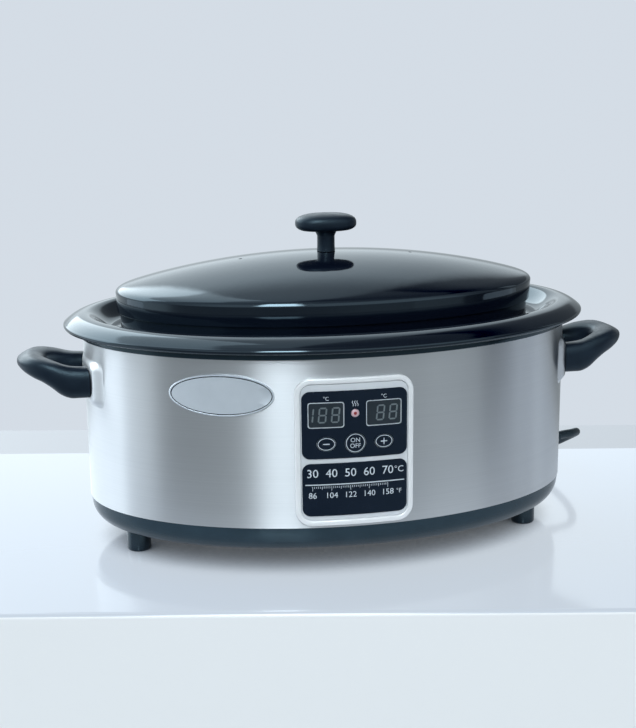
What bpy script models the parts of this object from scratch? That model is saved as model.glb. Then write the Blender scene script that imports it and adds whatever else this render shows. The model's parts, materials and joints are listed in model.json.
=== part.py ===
"""Oval hot stone heater: a heated well with a lift-off pan and lid, digital controls and a mains lead.

Metres, +Z up. The controls face -Y. The origin is on the table, under the middle of the body.
"""

import math

import bmesh
import bpy
from mathutils import Matrix, Vector

# Clearances and limits of the mesh
GAP = 0.0003
CUT_OVERRUN = 0.003
MERGE_DISTANCE = 0.00001
OVAL_SEGMENTS = 40
ROUND_SEGMENTS = 16
SMALL_ROUND_SEGMENTS = 12
SMOOTH_ANGLE = math.radians(35)

# Housing
BODY_HALF_LENGTH = 0.190
BODY_HALF_DEPTH = 0.115
WALL_SHEET = 0.0008
WALL_HEIGHT = 0.1297
TRAY_WALL = 0.0022
TRAY_HEIGHT = 0.0192
TRAY_INSET = 0.0130
TRAY_TOP_INSET = 0.0003
FOOT_HEIGHT = 0.0182
FOOT_RADIUS = 0.0092
FOOT_EDGE = 0.0012
FOOT_END_INSET = 0.0352
FOOT_Y = 0.0310
FOOT_SCREW_RADIUS = 0.0020
FOOT_SCREW_HEAD_RADIUS = 0.0036
FOOT_SCREW_HEAD = 0.0024
FOOT_RECESS = 0.0060
BOSS_RADIUS = 0.0050
BOSS_HEIGHT = 0.0110
VENT_LENGTH = 0.0280
VENT_WIDTH = 0.0030
VENT_PITCH = 0.0080
VENT_COUNT = 3
VENT_ROW_X = 0.0750

# Collar on the wall's top edge, and the heated well that hangs on it
COLLAR_LAP = 0.0029
COLLAR_WALL = 0.0020
COLLAR_INNER_INSET = 0.0076
COLLAR_RISE = 0.0113
COLLAR_SHOULDER = 0.0028
COLLAR_TOP_INSET = 0.0006
COLLAR_TOP_WIDTH = 0.0026
COLLAR_INNER_DROP = 0.0070
WELL_SHEET = 0.0008
WELL_FLANGE_INSET = 0.0010
WELL_FLANGE_WIDTH = 0.0031
WELL_INSET = 0.0275
WELL_NECK_DEPTH = 0.0200
WELL_BOTTOM = 0.0440
WELL_CORNER = 0.0080
STUD_RADIUS = 0.0025
STUD_TAIL = 0.0020
NUT_RADIUS = 0.0046
NUT_HEIGHT = 0.0036
HEATER_SHEET = 0.0015
HEATER_BOTTOM = 0.0520
HEATER_HEIGHT = 0.0340
FUSE_RADIUS = 0.0020
FUSE_LENGTH = 0.0120
SENSOR_RADIUS = 0.0060
SENSOR_HEIGHT = 0.0060
SENSOR_X = 0.0500
SENSOR_POST_RADIUS = 0.0040

# Pan
PAN_SHEET = 0.0012
RIM_OVERHANG = 0.0142
RIM_CREST_INSET = 0.0035
RIM_DROP = 0.0063
RIM_LEDGE = 0.0013
RIM_BEAD = 0.0042
CHANNEL_INSET = 0.0230
CHANNEL_WIDTH = 0.0080
CHANNEL_DROP = 0.0117
PAN_CORNER = 0.0030
PAN_DRAFT = 0.0030
PAN_BOTTOM_RADIUS = 0.0120
PAN_CLEARANCE = 0.0030

# Lid
LID_SHEET = 0.0012
LID_INSET = 0.0264
LID_NECK_STEP = 0.0026
LID_NECK_HEIGHT = 0.0138
LID_SKIRT_HEIGHT = 0.0100
LID_DOME_HEIGHT = 0.02855
LID_DOME_POWER = 0.66
LID_VENT_RADIUS = 0.0014
LID_VENT_X = 0.0670

# Knob
KNOB_HALF_LENGTH = 0.0238
KNOB_HALF_DEPTH = 0.0145
KNOB_CAP_HEIGHT = 0.0130
KNOB_STEM_RADIUS = 0.0068
KNOB_STEM_FLARE = 0.0010
KNOB_STEM_HEIGHT = 0.0163
KNOB_SCREW_RADIUS = 0.0020
KNOB_SCREW_LENGTH = 0.0140
KNOB_WASHER_RADIUS = 0.0065
KNOB_WASHER_SHEET = 0.0010
KNOB_SCREW_HEAD_RADIUS = 0.0040
KNOB_SCREW_HEAD = 0.0026

# Handles
HANDLE_PROJECTION = 0.0488
HANDLE_HALF_WIDTH = 0.0341
HANDLE_HOLE_REACH = 0.0270
HANDLE_HOLE_HALF_WIDTH = 0.0165
HANDLE_TOP_DROPS = (0.0222, 0.0210, 0.0169, 0.0145, 0.0165)
HANDLE_UNDERSIDE_DROPS = (0.0455, 0.0455, 0.0454, 0.0427, 0.0374, 0.0332, 0.0306, 0.0276, 0.0240)
HANDLE_SECTION_POINTS = 14
HANDLE_PAD_SHEET = 0.0010
HANDLE_PAD_HALF_HEIGHT = 0.0110
HANDLE_PAD_MARGIN = 0.0100
HANDLE_PAD_END_SINK = 0.0080
HANDLE_SCREW_Y = 0.0240
HANDLE_SCREW_RADIUS = 0.0018
HANDLE_SCREW_LENGTH = 0.0140
HANDLE_SCREW_HEAD_RADIUS = 0.0034
HANDLE_SCREW_HEAD = 0.0022

# Control panel, as seen from the front: places are (x, z)
PANEL_TOP_DROP = 0.0170
PANEL_HALF_WIDTH = 0.0435
PANEL_HALF_HEIGHT = 0.0553
PANEL_CORNER = 0.0120
BEZEL_WIDTH = 0.0040
BEZEL_THICKNESS = 0.0021
PLATE_THICKNESS = 0.0010
OVERLAY_THICKNESS = 0.0005
OVERLAY_SIDE_MARGIN = 0.0009
OVERLAY_TOP_MARGIN = 0.0052
OVERLAY_BOTTOM_MARGIN = 0.0036
OVERLAY_SPLIT = 0.0034
OVERLAY_CORNER = 0.0060
WINDOW_X = 0.0211
WINDOW_HALF_WIDTH = 0.0131
WINDOW_HALF_HEIGHT = 0.0104
WINDOW_CORNER = 0.0015
LENS_RADIUS = 0.0028
KEY_X = 0.0211
KEY_HALF_LENGTH = 0.0068
KEY_HALF_HEIGHT = 0.0052
POWER_KEY_RADIUS = 0.0075
KEY_BACK_LIFT = 0.0009
KEY_THICKNESS = 0.0015
WALL_WINDOW_HALF_WIDTH = 0.0345
WALL_WINDOW_MARGIN = 0.0040
PANEL_SLICE = 0.0150

# Controls behind the panel
CARRIER_HALF_WIDTH = 0.0420
CARRIER_LAP = 0.0078
CARRIER_BAR = 0.0065
CARRIER_DEPTH = 0.0067
BOARD_SHEET = 0.0016
BOARD_HALF_WIDTH = 0.0400
BOARD_MARGIN = 0.0015
DISPLAY_HALF_WIDTH = 0.0120
DISPLAY_HALF_HEIGHT = 0.0090
DISPLAY_DEPTH = 0.0080
LAMP_RADIUS = 0.0025
LAMP_LENGTH = 0.0080
SWITCH_HALF_SIZE = 0.0030
SWITCH_DEPTH = 0.0040
SWITCH_PLUNGER_RADIUS = 0.0017
KEY_FREE_TRAVEL = 0.0007
POWER_BOARD_X = -0.0700
POWER_BOARD_HALF_LENGTH = 0.0350
POWER_BOARD_HALF_DEPTH = 0.0250
POWER_BOARD_POST = 0.0035
TERMINAL_END_INSET = 0.0620
TERMINAL_Y = 0.0180
TERMINAL_LENGTH = 0.0200
TERMINAL_WIDTH = 0.0120
TERMINAL_HEIGHT = 0.0100

# Badge
BADGE_X = -0.0938
BADGE_DROP = 0.0294
BADGE_HALF_WIDTH = 0.0365
BADGE_HALF_HEIGHT = 0.0155
BADGE_THICKNESS = 0.0010

# Mains lead
CORD_RADIUS = 0.0036
CORD_ANGLE = math.radians(15)
CORD_HEIGHT = 0.0470
RELIEF_LENGTH = 0.0270
RELIEF_ROOT_RADIUS = 0.0062
RELIEF_TIP_RADIUS = 0.0046
RELIEF_FLANGE_RADIUS = 0.0080
RELIEF_FLANGE = 0.0020
RELIEF_NECK_RADIUS = 0.0050
RELIEF_INNER_LENGTH = 0.0030
RELIEF_INNER_GAP = 0.0015
CORD_POINTS = 28
COIL_CENTRE_X = 0.0850
COIL_CENTRE_Y = 0.1920
COIL_MEAN_RADIUS = 0.0396
COIL_PITCH = 0.0079
COIL_TURNS = 4.25
COIL_START = math.radians(39)
COIL_TAIL = 0.0420
COIL_STEPS_PER_TURN = 24
TIE_SHEET = 0.0009
TIE_WIDTH = 0.0080
TIE_CLEARANCE = 0.0003
TIE_SIDE_CLEARANCE = 0.0008
TIE_TURN = 0.6

# Route of the free stretch from the strain relief to the coil, chosen by hand
CORD_ROUTE = (
    (0.2225, 0.0472, 0.0465),
    (0.2295, 0.0552, 0.0448),
    (0.2326, 0.0670, 0.0402),
    (0.2310, 0.0795, 0.0335),
    (0.2247, 0.0920, 0.0252),
    (0.2150, 0.1060, 0.0166),
    (0.2030, 0.1225, 0.0098),
    (0.1890, 0.1420, 0.0060),
    (0.1740, 0.1620, 0.0044),
    (0.1590, 0.1805, 0.0041),
    (0.1450, 0.1970, 0.0043),
)

# Plug
PLUG_LENGTH = 0.0360
PLUG_WIDTH = 0.0270
PLUG_EDGE = 0.0045
PLUG_NECK_LENGTH = 0.0140
PLUG_NECK_RADIUS = 0.0060
BLADE_LENGTH = 0.0170
BLADE_WIDTH = 0.0063
BLADE_SHEET = 0.0015
BLADE_SPACING = 0.0127
EARTH_PIN_RADIUS = 0.0024
EARTH_PIN_LENGTH = 0.0205
EARTH_PIN_OFFSET = 0.0119
PIN_SINK = 0.0060

# Outlines as shares of the sizes that they follow
TRAY_SIDE_SHARES = ((0.00, 0.00), (0.05, 0.30), (0.18, 0.60), (0.45, 0.85), (1.00, 1.00))
RIM_ROLL_SHARES = (1.00, 0.75, 0.45, 0.20, 0.00)
RIM_ROLL_POWER = 2.2
CHANNEL_SLOPE_SHARES = (0.10, 0.45, 1.00)
BOTTOM_TURN_SHARES = (0.0, 0.5, 1.0)
LID_RING_SHARES = (1.00, 0.97, 0.87, 0.68, 0.38, 0.07)
HANDLE_OUTLINE_POWER = 2.4
HANDLE_HOLE_POWER = 1.9
HANDLE_SECTION_POWER = 2.9
HANDLE_SETBACK_SHARE = 0.643
HANDLE_STATION_SHARES = (0.00, 0.12, 0.24, 0.36, 0.48, 0.62, 0.75, 0.86, 0.95)
HANDLE_PAD_SLOPE_SHARE = 2.0
HANDLE_PAD_SHARES = (-1.00, -0.75, -0.50, -0.25, 0.00, 0.25, 0.50, 0.75, 1.00)
LOWER_OVERLAY_SHARE = 0.4425
WINDOW_RISE_SHARE = 0.298
LENS_RISE_SHARE = 0.325
KEY_RISE_SHARE = -0.556
WALL_WINDOW_RISE_SHARE = -0.020
KNOB_PLAN_POWER = 2.5
KNOB_SIDE_POWER = 2.3
KNOB_MIDDLE_SHARE = 0.46
PLUG_TAPER_SHARE = 0.78

# Heights that follow from the stack of pieces
TRAY_BOTTOM_Z = FOOT_HEIGHT + GAP
TRAY_TOP_Z = TRAY_BOTTOM_Z + TRAY_HEIGHT
WALL_BOTTOM_Z = TRAY_TOP_Z + GAP
WALL_TOP_Z = WALL_BOTTOM_Z + WALL_HEIGHT
COLLAR_BOTTOM_Z = WALL_TOP_Z - COLLAR_LAP
COLLAR_TOP_Z = WALL_TOP_Z + COLLAR_RISE
WELL_TOP_Z = COLLAR_TOP_Z + GAP + WELL_SHEET
SENSOR_BOTTOM_Z = WELL_BOTTOM - WELL_SHEET - GAP - SENSOR_HEIGHT
RIM_CREST_Z = WELL_TOP_Z + GAP + PAN_SHEET
CHANNEL_Z = RIM_CREST_Z - CHANNEL_DROP
PAN_FLOOR_Z = WELL_BOTTOM + PAN_CLEARANCE + PAN_SHEET
LID_BOTTOM_Z = CHANNEL_Z + GAP
LID_STEP_Z = LID_BOTTOM_Z + LID_NECK_HEIGHT
LID_SHOULDER_Z = LID_STEP_Z + LID_SKIRT_HEIGHT
LID_TOP_Z = LID_SHOULDER_Z + LID_DOME_HEIGHT
KNOB_BOTTOM_Z = LID_TOP_Z + GAP

# Places that follow from the body's outline and the wall's top edge
FOOT_X = BODY_HALF_LENGTH - FOOT_END_INSET
TERMINAL_X = BODY_HALF_LENGTH - TERMINAL_END_INSET
HANDLE_INNER_X = BODY_HALF_LENGTH + GAP + HANDLE_PAD_SHEET + GAP
HANDLE_TOPS = tuple(WALL_TOP_Z - drop for drop in HANDLE_TOP_DROPS)
HANDLE_UNDERSIDES = tuple(WALL_TOP_Z - drop for drop in HANDLE_UNDERSIDE_DROPS)
BADGE_Z = WALL_TOP_Z - BADGE_DROP
PANEL_CENTRE_Z = WALL_TOP_Z - PANEL_TOP_DROP - PANEL_HALF_HEIGHT
OVERLAY_HALF_WIDTH = PANEL_HALF_WIDTH - BEZEL_WIDTH - OVERLAY_SIDE_MARGIN
OVERLAY_HIGH_Z = PANEL_CENTRE_Z + PANEL_HALF_HEIGHT - BEZEL_WIDTH - OVERLAY_TOP_MARGIN
OVERLAY_LOW_Z = PANEL_CENTRE_Z - PANEL_HALF_HEIGHT + BEZEL_WIDTH + OVERLAY_BOTTOM_MARGIN
OVERLAY_HALF_HEIGHT = (OVERLAY_HIGH_Z - OVERLAY_LOW_Z - OVERLAY_SPLIT) / 2
LOWER_OVERLAY_HALF_HEIGHT = OVERLAY_HALF_HEIGHT * LOWER_OVERLAY_SHARE
UPPER_OVERLAY_HALF_HEIGHT = OVERLAY_HALF_HEIGHT - LOWER_OVERLAY_HALF_HEIGHT
LOWER_OVERLAY_Z = OVERLAY_LOW_Z + LOWER_OVERLAY_HALF_HEIGHT
UPPER_OVERLAY_Z = OVERLAY_HIGH_Z - UPPER_OVERLAY_HALF_HEIGHT
WINDOW_Z = UPPER_OVERLAY_Z + UPPER_OVERLAY_HALF_HEIGHT * WINDOW_RISE_SHARE
LENS_Z = UPPER_OVERLAY_Z + UPPER_OVERLAY_HALF_HEIGHT * LENS_RISE_SHARE
KEY_Z = UPPER_OVERLAY_Z + UPPER_OVERLAY_HALF_HEIGHT * KEY_RISE_SHARE
WALL_WINDOW_Z = UPPER_OVERLAY_Z + UPPER_OVERLAY_HALF_HEIGHT * WALL_WINDOW_RISE_SHARE
WALL_WINDOW_HALF_HEIGHT = UPPER_OVERLAY_HALF_HEIGHT - WALL_WINDOW_MARGIN
CARRIER_HALF_HEIGHT = WALL_WINDOW_HALF_HEIGHT + CARRIER_LAP
BOARD_HALF_HEIGHT = CARRIER_HALF_HEIGHT - BOARD_MARGIN
COIL_BOTTOM_Z = CORD_RADIUS + TIE_SHEET + TIE_CLEARANCE
PLUG_CENTRE_Z = COIL_BOTTOM_Z + COIL_PITCH


def clear_scene():
    for item in list(bpy.context.scene.objects):
        bpy.data.objects.remove(item, do_unlink=True)


def make_collection(name):
    collection = bpy.data.collections.new(name)
    bpy.context.scene.collection.children.link(collection)
    return collection


clear_scene()
PARTS = make_collection("hot_stone_heater")
CUTTERS = make_collection("cutters")


def paint(name, colour, roughness, metallic=0.0):
    """A Principled material in one colour, which is given as red, green and blue shares."""
    finish = bpy.data.materials.new(name)
    finish.use_nodes = True
    shader = finish.node_tree.nodes["Principled BSDF"]
    shader.inputs["Base Color"].default_value = (*colour, 1.0)
    shader.inputs["Roughness"].default_value = roughness
    shader.inputs["Metallic"].default_value = metallic
    return finish


FINISHES = {
    "enamel": ((0.010, 0.013, 0.018), 0.08, 0.0),
    "steel": ((0.62, 0.63, 0.65), 0.32, 1.0),
    "aluminium": ((0.70, 0.71, 0.72), 0.42, 1.0),
    "zinc": ((0.55, 0.56, 0.58), 0.38, 1.0),
    "brass": ((0.78, 0.60, 0.28), 0.30, 1.0),
    "phenolic": ((0.022, 0.028, 0.036), 0.42, 0.0),
    "dark_plastic": ((0.030, 0.040, 0.050), 0.50, 0.0),
    "foot_plastic": ((0.010, 0.012, 0.018), 0.18, 0.0),
    "bezel_silver": ((0.80, 0.82, 0.84), 0.28, 0.4),
    "overlay_black": ((0.012, 0.014, 0.024), 0.25, 0.0),
    "window_smoke": ((0.035, 0.045, 0.055), 0.10, 0.0),
    "lens_red": ((0.55, 0.12, 0.12), 0.20, 0.0),
    "board_green": ((0.03, 0.16, 0.07), 0.45, 0.0),
    "component_black": ((0.02, 0.02, 0.02), 0.40, 0.0),
    "mica": ((0.58, 0.50, 0.36), 0.60, 0.0),
    "cord_rubber": ((0.014, 0.014, 0.016), 0.55, 0.0),
}


def place(name, mesh, finish, collection=None):
    """Put a mesh in the scene as one named sub-part with its own material."""
    item = bpy.data.objects.new(name, mesh)
    (collection or PARTS).objects.link(item)
    mesh.materials.clear()
    mesh.materials.append(paint(name, *FINISHES[finish]))
    mesh.shade_smooth()
    mesh.set_sharp_from_angle(angle=SMOOTH_ANGLE)
    return item


def finish_shape(name, shape):
    mesh = bpy.data.meshes.new(name)
    shape.to_mesh(mesh)
    shape.free()
    return mesh


def cutter(name, mesh):
    item = bpy.data.objects.new(name, mesh)
    CUTTERS.objects.link(item)
    item.hide_render = True
    item.display_type = "WIRE"
    return item


def combine(item, tool, operation):
    change = item.modifiers.new(tool.name, "BOOLEAN")
    change.operation = operation
    change.object = tool
    change.solver = "EXACT"


def cut(item, tool):
    combine(item, tool, "DIFFERENCE")


def solidify(item, thickness):
    shell = item.modifiers.new("sheet", "SOLIDIFY")
    shell.thickness = thickness
    shell.offset = -1
    shell.use_even_offset = True


def bevel(item, width, segments=2):
    edge = item.modifiers.new("edges", "BEVEL")
    edge.width = width
    edge.segments = segments
    edge.limit_method = "ANGLE"
    edge.angle_limit = SMOOTH_ANGLE


def box_mesh(name, low, high):
    """A box between two opposite corners."""
    low = Vector(low)
    high = Vector(high)
    shape = bmesh.new()
    bmesh.ops.create_cube(shape, size=1)
    bmesh.ops.scale(shape, vec=high - low, verts=shape.verts)
    bmesh.ops.translate(shape, vec=(low + high) / 2, verts=shape.verts)
    return finish_shape(name, shape)


def rod_mesh(name, start, end, radius, end_radius=None, segments=ROUND_SEGMENTS):
    """A round bar, or a cone, between two points."""
    start = Vector(start)
    end = Vector(end)
    shape = bmesh.new()
    bmesh.ops.create_cone(
        shape,
        cap_ends=True,
        segments=segments,
        radius1=radius,
        radius2=radius if end_radius is None else end_radius,
        depth=(end - start).length,
    )
    turn = (end - start).to_track_quat("Z", "Y").to_matrix().to_4x4()
    bmesh.ops.transform(shape, matrix=Matrix.Translation((start + end) / 2) @ turn, verts=shape.verts)
    return finish_shape(name, shape)


def turned_mesh(name, profile, segments=ROUND_SEGMENTS):
    """Turn a profile of (radius, height) about Z. It runs down the outer side from top to bottom."""
    shape = bmesh.new()
    corners = [shape.verts.new((radius, 0, height)) for radius, height in profile]
    for upper, lower in zip(corners, corners[1:]):
        shape.edges.new((upper, lower))
    item = bpy.data.objects.new(name, finish_shape(name, shape))
    CUTTERS.objects.link(item)
    turn = item.modifiers.new("turn", "SCREW")
    turn.axis = "Z"
    turn.steps = segments
    turn.render_steps = segments
    turn.use_merge_vertices = True
    turn.merge_threshold = MERGE_DISTANCE
    return evaluated_mesh(item)


def evaluated_mesh(item):
    """Take an object's evaluated mesh, with its place applied, and remove the object."""
    bpy.context.view_layer.update()
    graph = bpy.context.evaluated_depsgraph_get()
    mesh = bpy.data.meshes.new_from_object(item.evaluated_get(graph))
    mesh.transform(item.matrix_world)
    shape = bmesh.new()
    shape.from_mesh(mesh)
    bmesh.ops.remove_doubles(shape, verts=shape.verts, dist=MERGE_DISTANCE)
    bmesh.ops.recalc_face_normals(shape, faces=shape.faces)
    shape.to_mesh(mesh)
    shape.free()
    mesh.name = item.name
    bpy.data.objects.remove(item, do_unlink=True)
    return mesh


def tube(name, points, radius, resolution, finish):
    """A round tube along points, with flat closed ends."""
    curve = bpy.data.curves.new(name, "CURVE")
    curve.dimensions = "3D"
    curve.bevel_depth = radius
    curve.bevel_resolution = resolution
    curve.use_fill_caps = True
    line = curve.splines.new("POLY")
    line.points.add(len(points) - 1)
    for corner, point in zip(line.points, points):
        corner.co = (*point, 1)
    item = bpy.data.objects.new(name, curve)
    CUTTERS.objects.link(item)
    return place(name, evaluated_mesh(item), finish)


def flat_mesh(name, outlines, thickness):
    """A flat plate in the XY plane, centred on z = 0. Outlines inside the first one are holes."""
    curve = bpy.data.curves.new(name, "CURVE")
    curve.dimensions = "2D"
    curve.fill_mode = "BOTH"
    curve.extrude = thickness / 2
    for outline in outlines:
        line = curve.splines.new("POLY")
        line.points.add(len(outline) - 1)
        line.use_cyclic_u = True
        for corner, point in zip(line.points, outline):
            corner.co = (point[0], point[1], 0, 1)
    item = bpy.data.objects.new(name, curve)
    CUTTERS.objects.link(item)
    return evaluated_mesh(item)


def slice_mesh(mesh, step, low, high):
    """Add edges across a mesh at even places along X, so that it can bend."""
    shape = bmesh.new()
    shape.from_mesh(mesh)
    count = max(1, math.ceil((high - low) / step))
    for index in range(1, count):
        bmesh.ops.bisect_plane(
            shape,
            geom=shape.verts[:] + shape.edges[:] + shape.faces[:],
            dist=MERGE_DISTANCE,
            plane_co=(low + (high - low) * index / count, 0, 0),
            plane_no=(1, 0, 0),
        )
    bmesh.ops.triangulate(shape, faces=shape.faces)
    shape.to_mesh(mesh)
    shape.free()


def rounded_box(half_width, half_height, corner, centre=(0, 0), steps=3):
    points = []
    for quarter, (side, level) in enumerate(((1, 1), (-1, 1), (-1, -1), (1, -1))):
        for step in range(steps + 1):
            angle = math.pi / 2 * (quarter + step / steps)
            points.append((
                centre[0] + side * (half_width - corner) + corner * math.cos(angle),
                centre[1] + level * (half_height - corner) + corner * math.sin(angle),
            ))
    return points


def oval(half_width, half_height, centre=(0, 0), count=ROUND_SEGMENTS):
    points = []
    for index in range(count):
        angle = 2 * math.pi * index / count
        points.append((
            centre[0] + half_width * math.cos(angle),
            centre[1] + half_height * math.sin(angle),
        ))
    return points


# Oval shapes that follow the body

def body_ring(offset, height):
    """An oval that runs parallel to the body's outline, as (half length, half depth, height)."""
    return (BODY_HALF_LENGTH + offset, BODY_HALF_DEPTH + offset, height)


def oval_mesh(name, rings, capped=False, closed=False, cap_up=True):
    """Extrude an oval edge loop from ring to ring. A closed one joins its last ring to its first."""
    shape = bmesh.new()
    bmesh.ops.create_circle(shape, cap_ends=False, radius=1, segments=OVAL_SEGMENTS)
    loop = shape.edges[:]
    first = rings[0]
    for vert in shape.verts:
        vert.co = (vert.co.x * first[0], vert.co.y * first[1], first[2])
    for last, ring in zip(rings, rings[1:]):
        grown = bmesh.ops.extrude_edge_only(shape, edges=loop)["geom"]
        loop = [piece for piece in grown if isinstance(piece, bmesh.types.BMEdge) and piece.is_boundary]
        for vert in (piece for piece in grown if isinstance(piece, bmesh.types.BMVert)):
            vert.co = (vert.co.x * ring[0] / last[0], vert.co.y * ring[1] / last[1], ring[2])
    caps = []
    if capped:
        caps = bmesh.ops.edgeloop_fill(shape, edges=loop)["faces"]
    if closed:
        bmesh.ops.remove_doubles(shape, verts=shape.verts, dist=MERGE_DISTANCE)
    bmesh.ops.recalc_face_normals(shape, faces=shape.faces)
    if caps and (caps[0].normal.z > 0) != cap_up:
        bmesh.ops.reverse_faces(shape, faces=shape.faces)
    return finish_shape(name, shape)


def facet_reach(place_across, half_reach, half_across):
    """How far out the flat-sided oval stands at a place across it."""
    step = 2 * math.pi / OVAL_SEGMENTS
    first = math.floor(math.asin(place_across / half_across) / step) * step
    second = first + step
    near = half_across * math.sin(first)
    far = half_across * math.sin(second)
    share = (place_across - near) / (far - near)
    return half_reach * (math.cos(first) + (math.cos(second) - math.cos(first)) * share)


def front_y(x, offset):
    """Y of the front of the body's outline, moved out by an offset, at a place along X."""
    return -(BODY_HALF_DEPTH + offset) * math.sqrt(1 - (x / (BODY_HALF_LENGTH + offset)) ** 2)


def wrapped_mesh(name, outlines, lift, thickness):
    """A plate drawn in front view, as (x, z), and laid on the front of the body at a lift."""
    mesh = flat_mesh(name, outlines, thickness)
    low = min(point[0] for point in outlines[0])
    high = max(point[0] for point in outlines[0])
    slice_mesh(mesh, PANEL_SLICE, low, high)
    for vert in mesh.vertices:
        depth = lift + thickness / 2 + vert.co.z
        vert.co = (vert.co.x, front_y(vert.co.x, depth), vert.co.y)
    shape = bmesh.new()
    shape.from_mesh(mesh)
    bmesh.ops.recalc_face_normals(shape, faces=shape.faces)
    shape.to_mesh(mesh)
    shape.free()
    return mesh


def wall_frame(angle, height, offset=0.0):
    """A point on the body's wall and the wall's outward direction there."""
    across = Vector((math.cos(angle) / BODY_HALF_LENGTH, math.sin(angle) / BODY_HALF_DEPTH, 0)).normalized()
    point = Vector((BODY_HALF_LENGTH * math.cos(angle), BODY_HALF_DEPTH * math.sin(angle), height))
    return point + across * offset, across


# Housing

def make_wall():
    rings = [
        body_ring(-WALL_SHEET, WALL_BOTTOM_Z),
        body_ring(0, WALL_BOTTOM_Z),
        body_ring(0, WALL_TOP_Z),
        body_ring(-WALL_SHEET, WALL_TOP_Z),
        body_ring(-WALL_SHEET, WALL_BOTTOM_Z),
    ]
    wall = place("shell_band", oval_mesh("shell_band", rings, closed=True), "steel")
    window = box_mesh(
        "cut_wall_window",
        (-WALL_WINDOW_HALF_WIDTH, -BODY_HALF_DEPTH - CUT_OVERRUN, WALL_WINDOW_Z - WALL_WINDOW_HALF_HEIGHT),
        (WALL_WINDOW_HALF_WIDTH, -BODY_HALF_DEPTH / 2, WALL_WINDOW_Z + WALL_WINDOW_HALF_HEIGHT),
    )
    cut(wall, cutter("cut_wall_window", window))
    inner, across = wall_frame(CORD_ANGLE, CORD_HEIGHT, -WALL_SHEET - CUT_OVERRUN)
    outer, across = wall_frame(CORD_ANGLE, CORD_HEIGHT, CUT_OVERRUN)
    cut(wall, cutter("cut_cord_hole", rod_mesh("cut_cord_hole", inner, outer, RELIEF_NECK_RADIUS + GAP)))
    for side in (-1, 1):
        for level in (-1, 1):
            name = f"cut_handle_hole_{side_name(side)}_{front_name(level)}"
            start = (side * (BODY_HALF_LENGTH + CUT_OVERRUN), level * HANDLE_SCREW_Y, handle_screw_z())
            end = (side * BODY_HALF_LENGTH / 2, level * HANDLE_SCREW_Y, handle_screw_z())
            hole = rod_mesh(name, start, end, HANDLE_SCREW_RADIUS + GAP, segments=SMALL_ROUND_SEGMENTS)
            cut(wall, cutter(name, hole))


def side_name(side):
    return "right" if side > 0 else "left"


def front_name(level):
    return "rear" if level > 0 else "front"


def tray_rings():
    rings = []
    for inset_share, drop_share in TRAY_SIDE_SHARES:
        inset = TRAY_TOP_INSET + (TRAY_INSET - TRAY_TOP_INSET) * inset_share
        rings.append(body_ring(-inset, TRAY_TOP_Z - TRAY_HEIGHT * drop_share))
    return rings


def make_tray():
    tray = place("base_tray", oval_mesh("base_tray", tray_rings(), capped=True, cap_up=False), "dark_plastic")
    solidify(tray, TRAY_WALL)
    inside_z = TRAY_BOTTOM_Z + TRAY_WALL
    for side in (-1, 1):
        for level in (-1, 1):
            name = f"{side_name(side)}_{front_name(level)}"
            centre = Vector((side * FOOT_X, level * FOOT_Y, 0))
            boss = rod_mesh(
                f"boss_{name}",
                centre + Vector((0, 0, inside_z - TRAY_WALL / 2)),
                centre + Vector((0, 0, inside_z + BOSS_HEIGHT)),
                BOSS_RADIUS,
                segments=SMALL_ROUND_SEGMENTS,
            )
            combine(tray, cutter(f"boss_{name}", boss), "UNION")
    for side in (-1, 1):
        for level in (-1, 1):
            name = f"board_post_{side_name(side)}_{front_name(level)}"
            x = POWER_BOARD_X + side * (POWER_BOARD_HALF_LENGTH - BOSS_RADIUS)
            y = level * (POWER_BOARD_HALF_DEPTH - BOSS_RADIUS)
            post = rod_mesh(
                name,
                (x, y, inside_z - TRAY_WALL / 2),
                (x, y, inside_z + POWER_BOARD_POST),
                BOSS_RADIUS / 2,
                segments=SMALL_ROUND_SEGMENTS,
            )
            combine(tray, cutter(name, post), "UNION")
    for side in (-1, 1):
        for level in (-1, 1):
            name = f"cut_screw_hole_{side_name(side)}_{front_name(level)}"
            centre = Vector((side * FOOT_X, level * FOOT_Y, 0))
            hole = rod_mesh(
                name,
                centre + Vector((0, 0, TRAY_BOTTOM_Z - CUT_OVERRUN)),
                centre + Vector((0, 0, inside_z + BOSS_HEIGHT + CUT_OVERRUN)),
                FOOT_SCREW_RADIUS + GAP,
                segments=SMALL_ROUND_SEGMENTS,
            )
            cut(tray, cutter(name, hole))
    post = rod_mesh(
        "sensor_post",
        (SENSOR_X, 0, inside_z - TRAY_WALL / 2),
        (SENSOR_X, 0, SENSOR_BOTTOM_Z - GAP),
        SENSOR_POST_RADIUS,
        segments=SMALL_ROUND_SEGMENTS,
    )
    combine(tray, cutter("sensor_post", post), "UNION")
    hole = rod_mesh(
        "cut_stud_hole",
        (0, 0, TRAY_BOTTOM_Z - CUT_OVERRUN),
        (0, 0, inside_z + CUT_OVERRUN),
        STUD_RADIUS + GAP,
        segments=SMALL_ROUND_SEGMENTS,
    )
    cut(tray, cutter("cut_stud_hole", hole))
    cut_vents(tray)


def cut_vents(tray):
    """Two rows of slots through the tray's floor."""
    row = (VENT_COUNT - 1) * VENT_PITCH
    for side in (-1, 1):
        for index in range(VENT_COUNT):
            x = side * VENT_ROW_X - row / 2 + index * VENT_PITCH
            name = f"cut_vent_{side_name(side)}_{index}"
            near = BODY_HALF_DEPTH / 2
            slot = box_mesh(
                name,
                (x - VENT_WIDTH / 2, near - VENT_LENGTH / 2, TRAY_BOTTOM_Z - CUT_OVERRUN),
                (x + VENT_WIDTH / 2, near + VENT_LENGTH / 2, TRAY_BOTTOM_Z + TRAY_WALL + CUT_OVERRUN),
            )
            cut(tray, cutter(name, slot))


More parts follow.
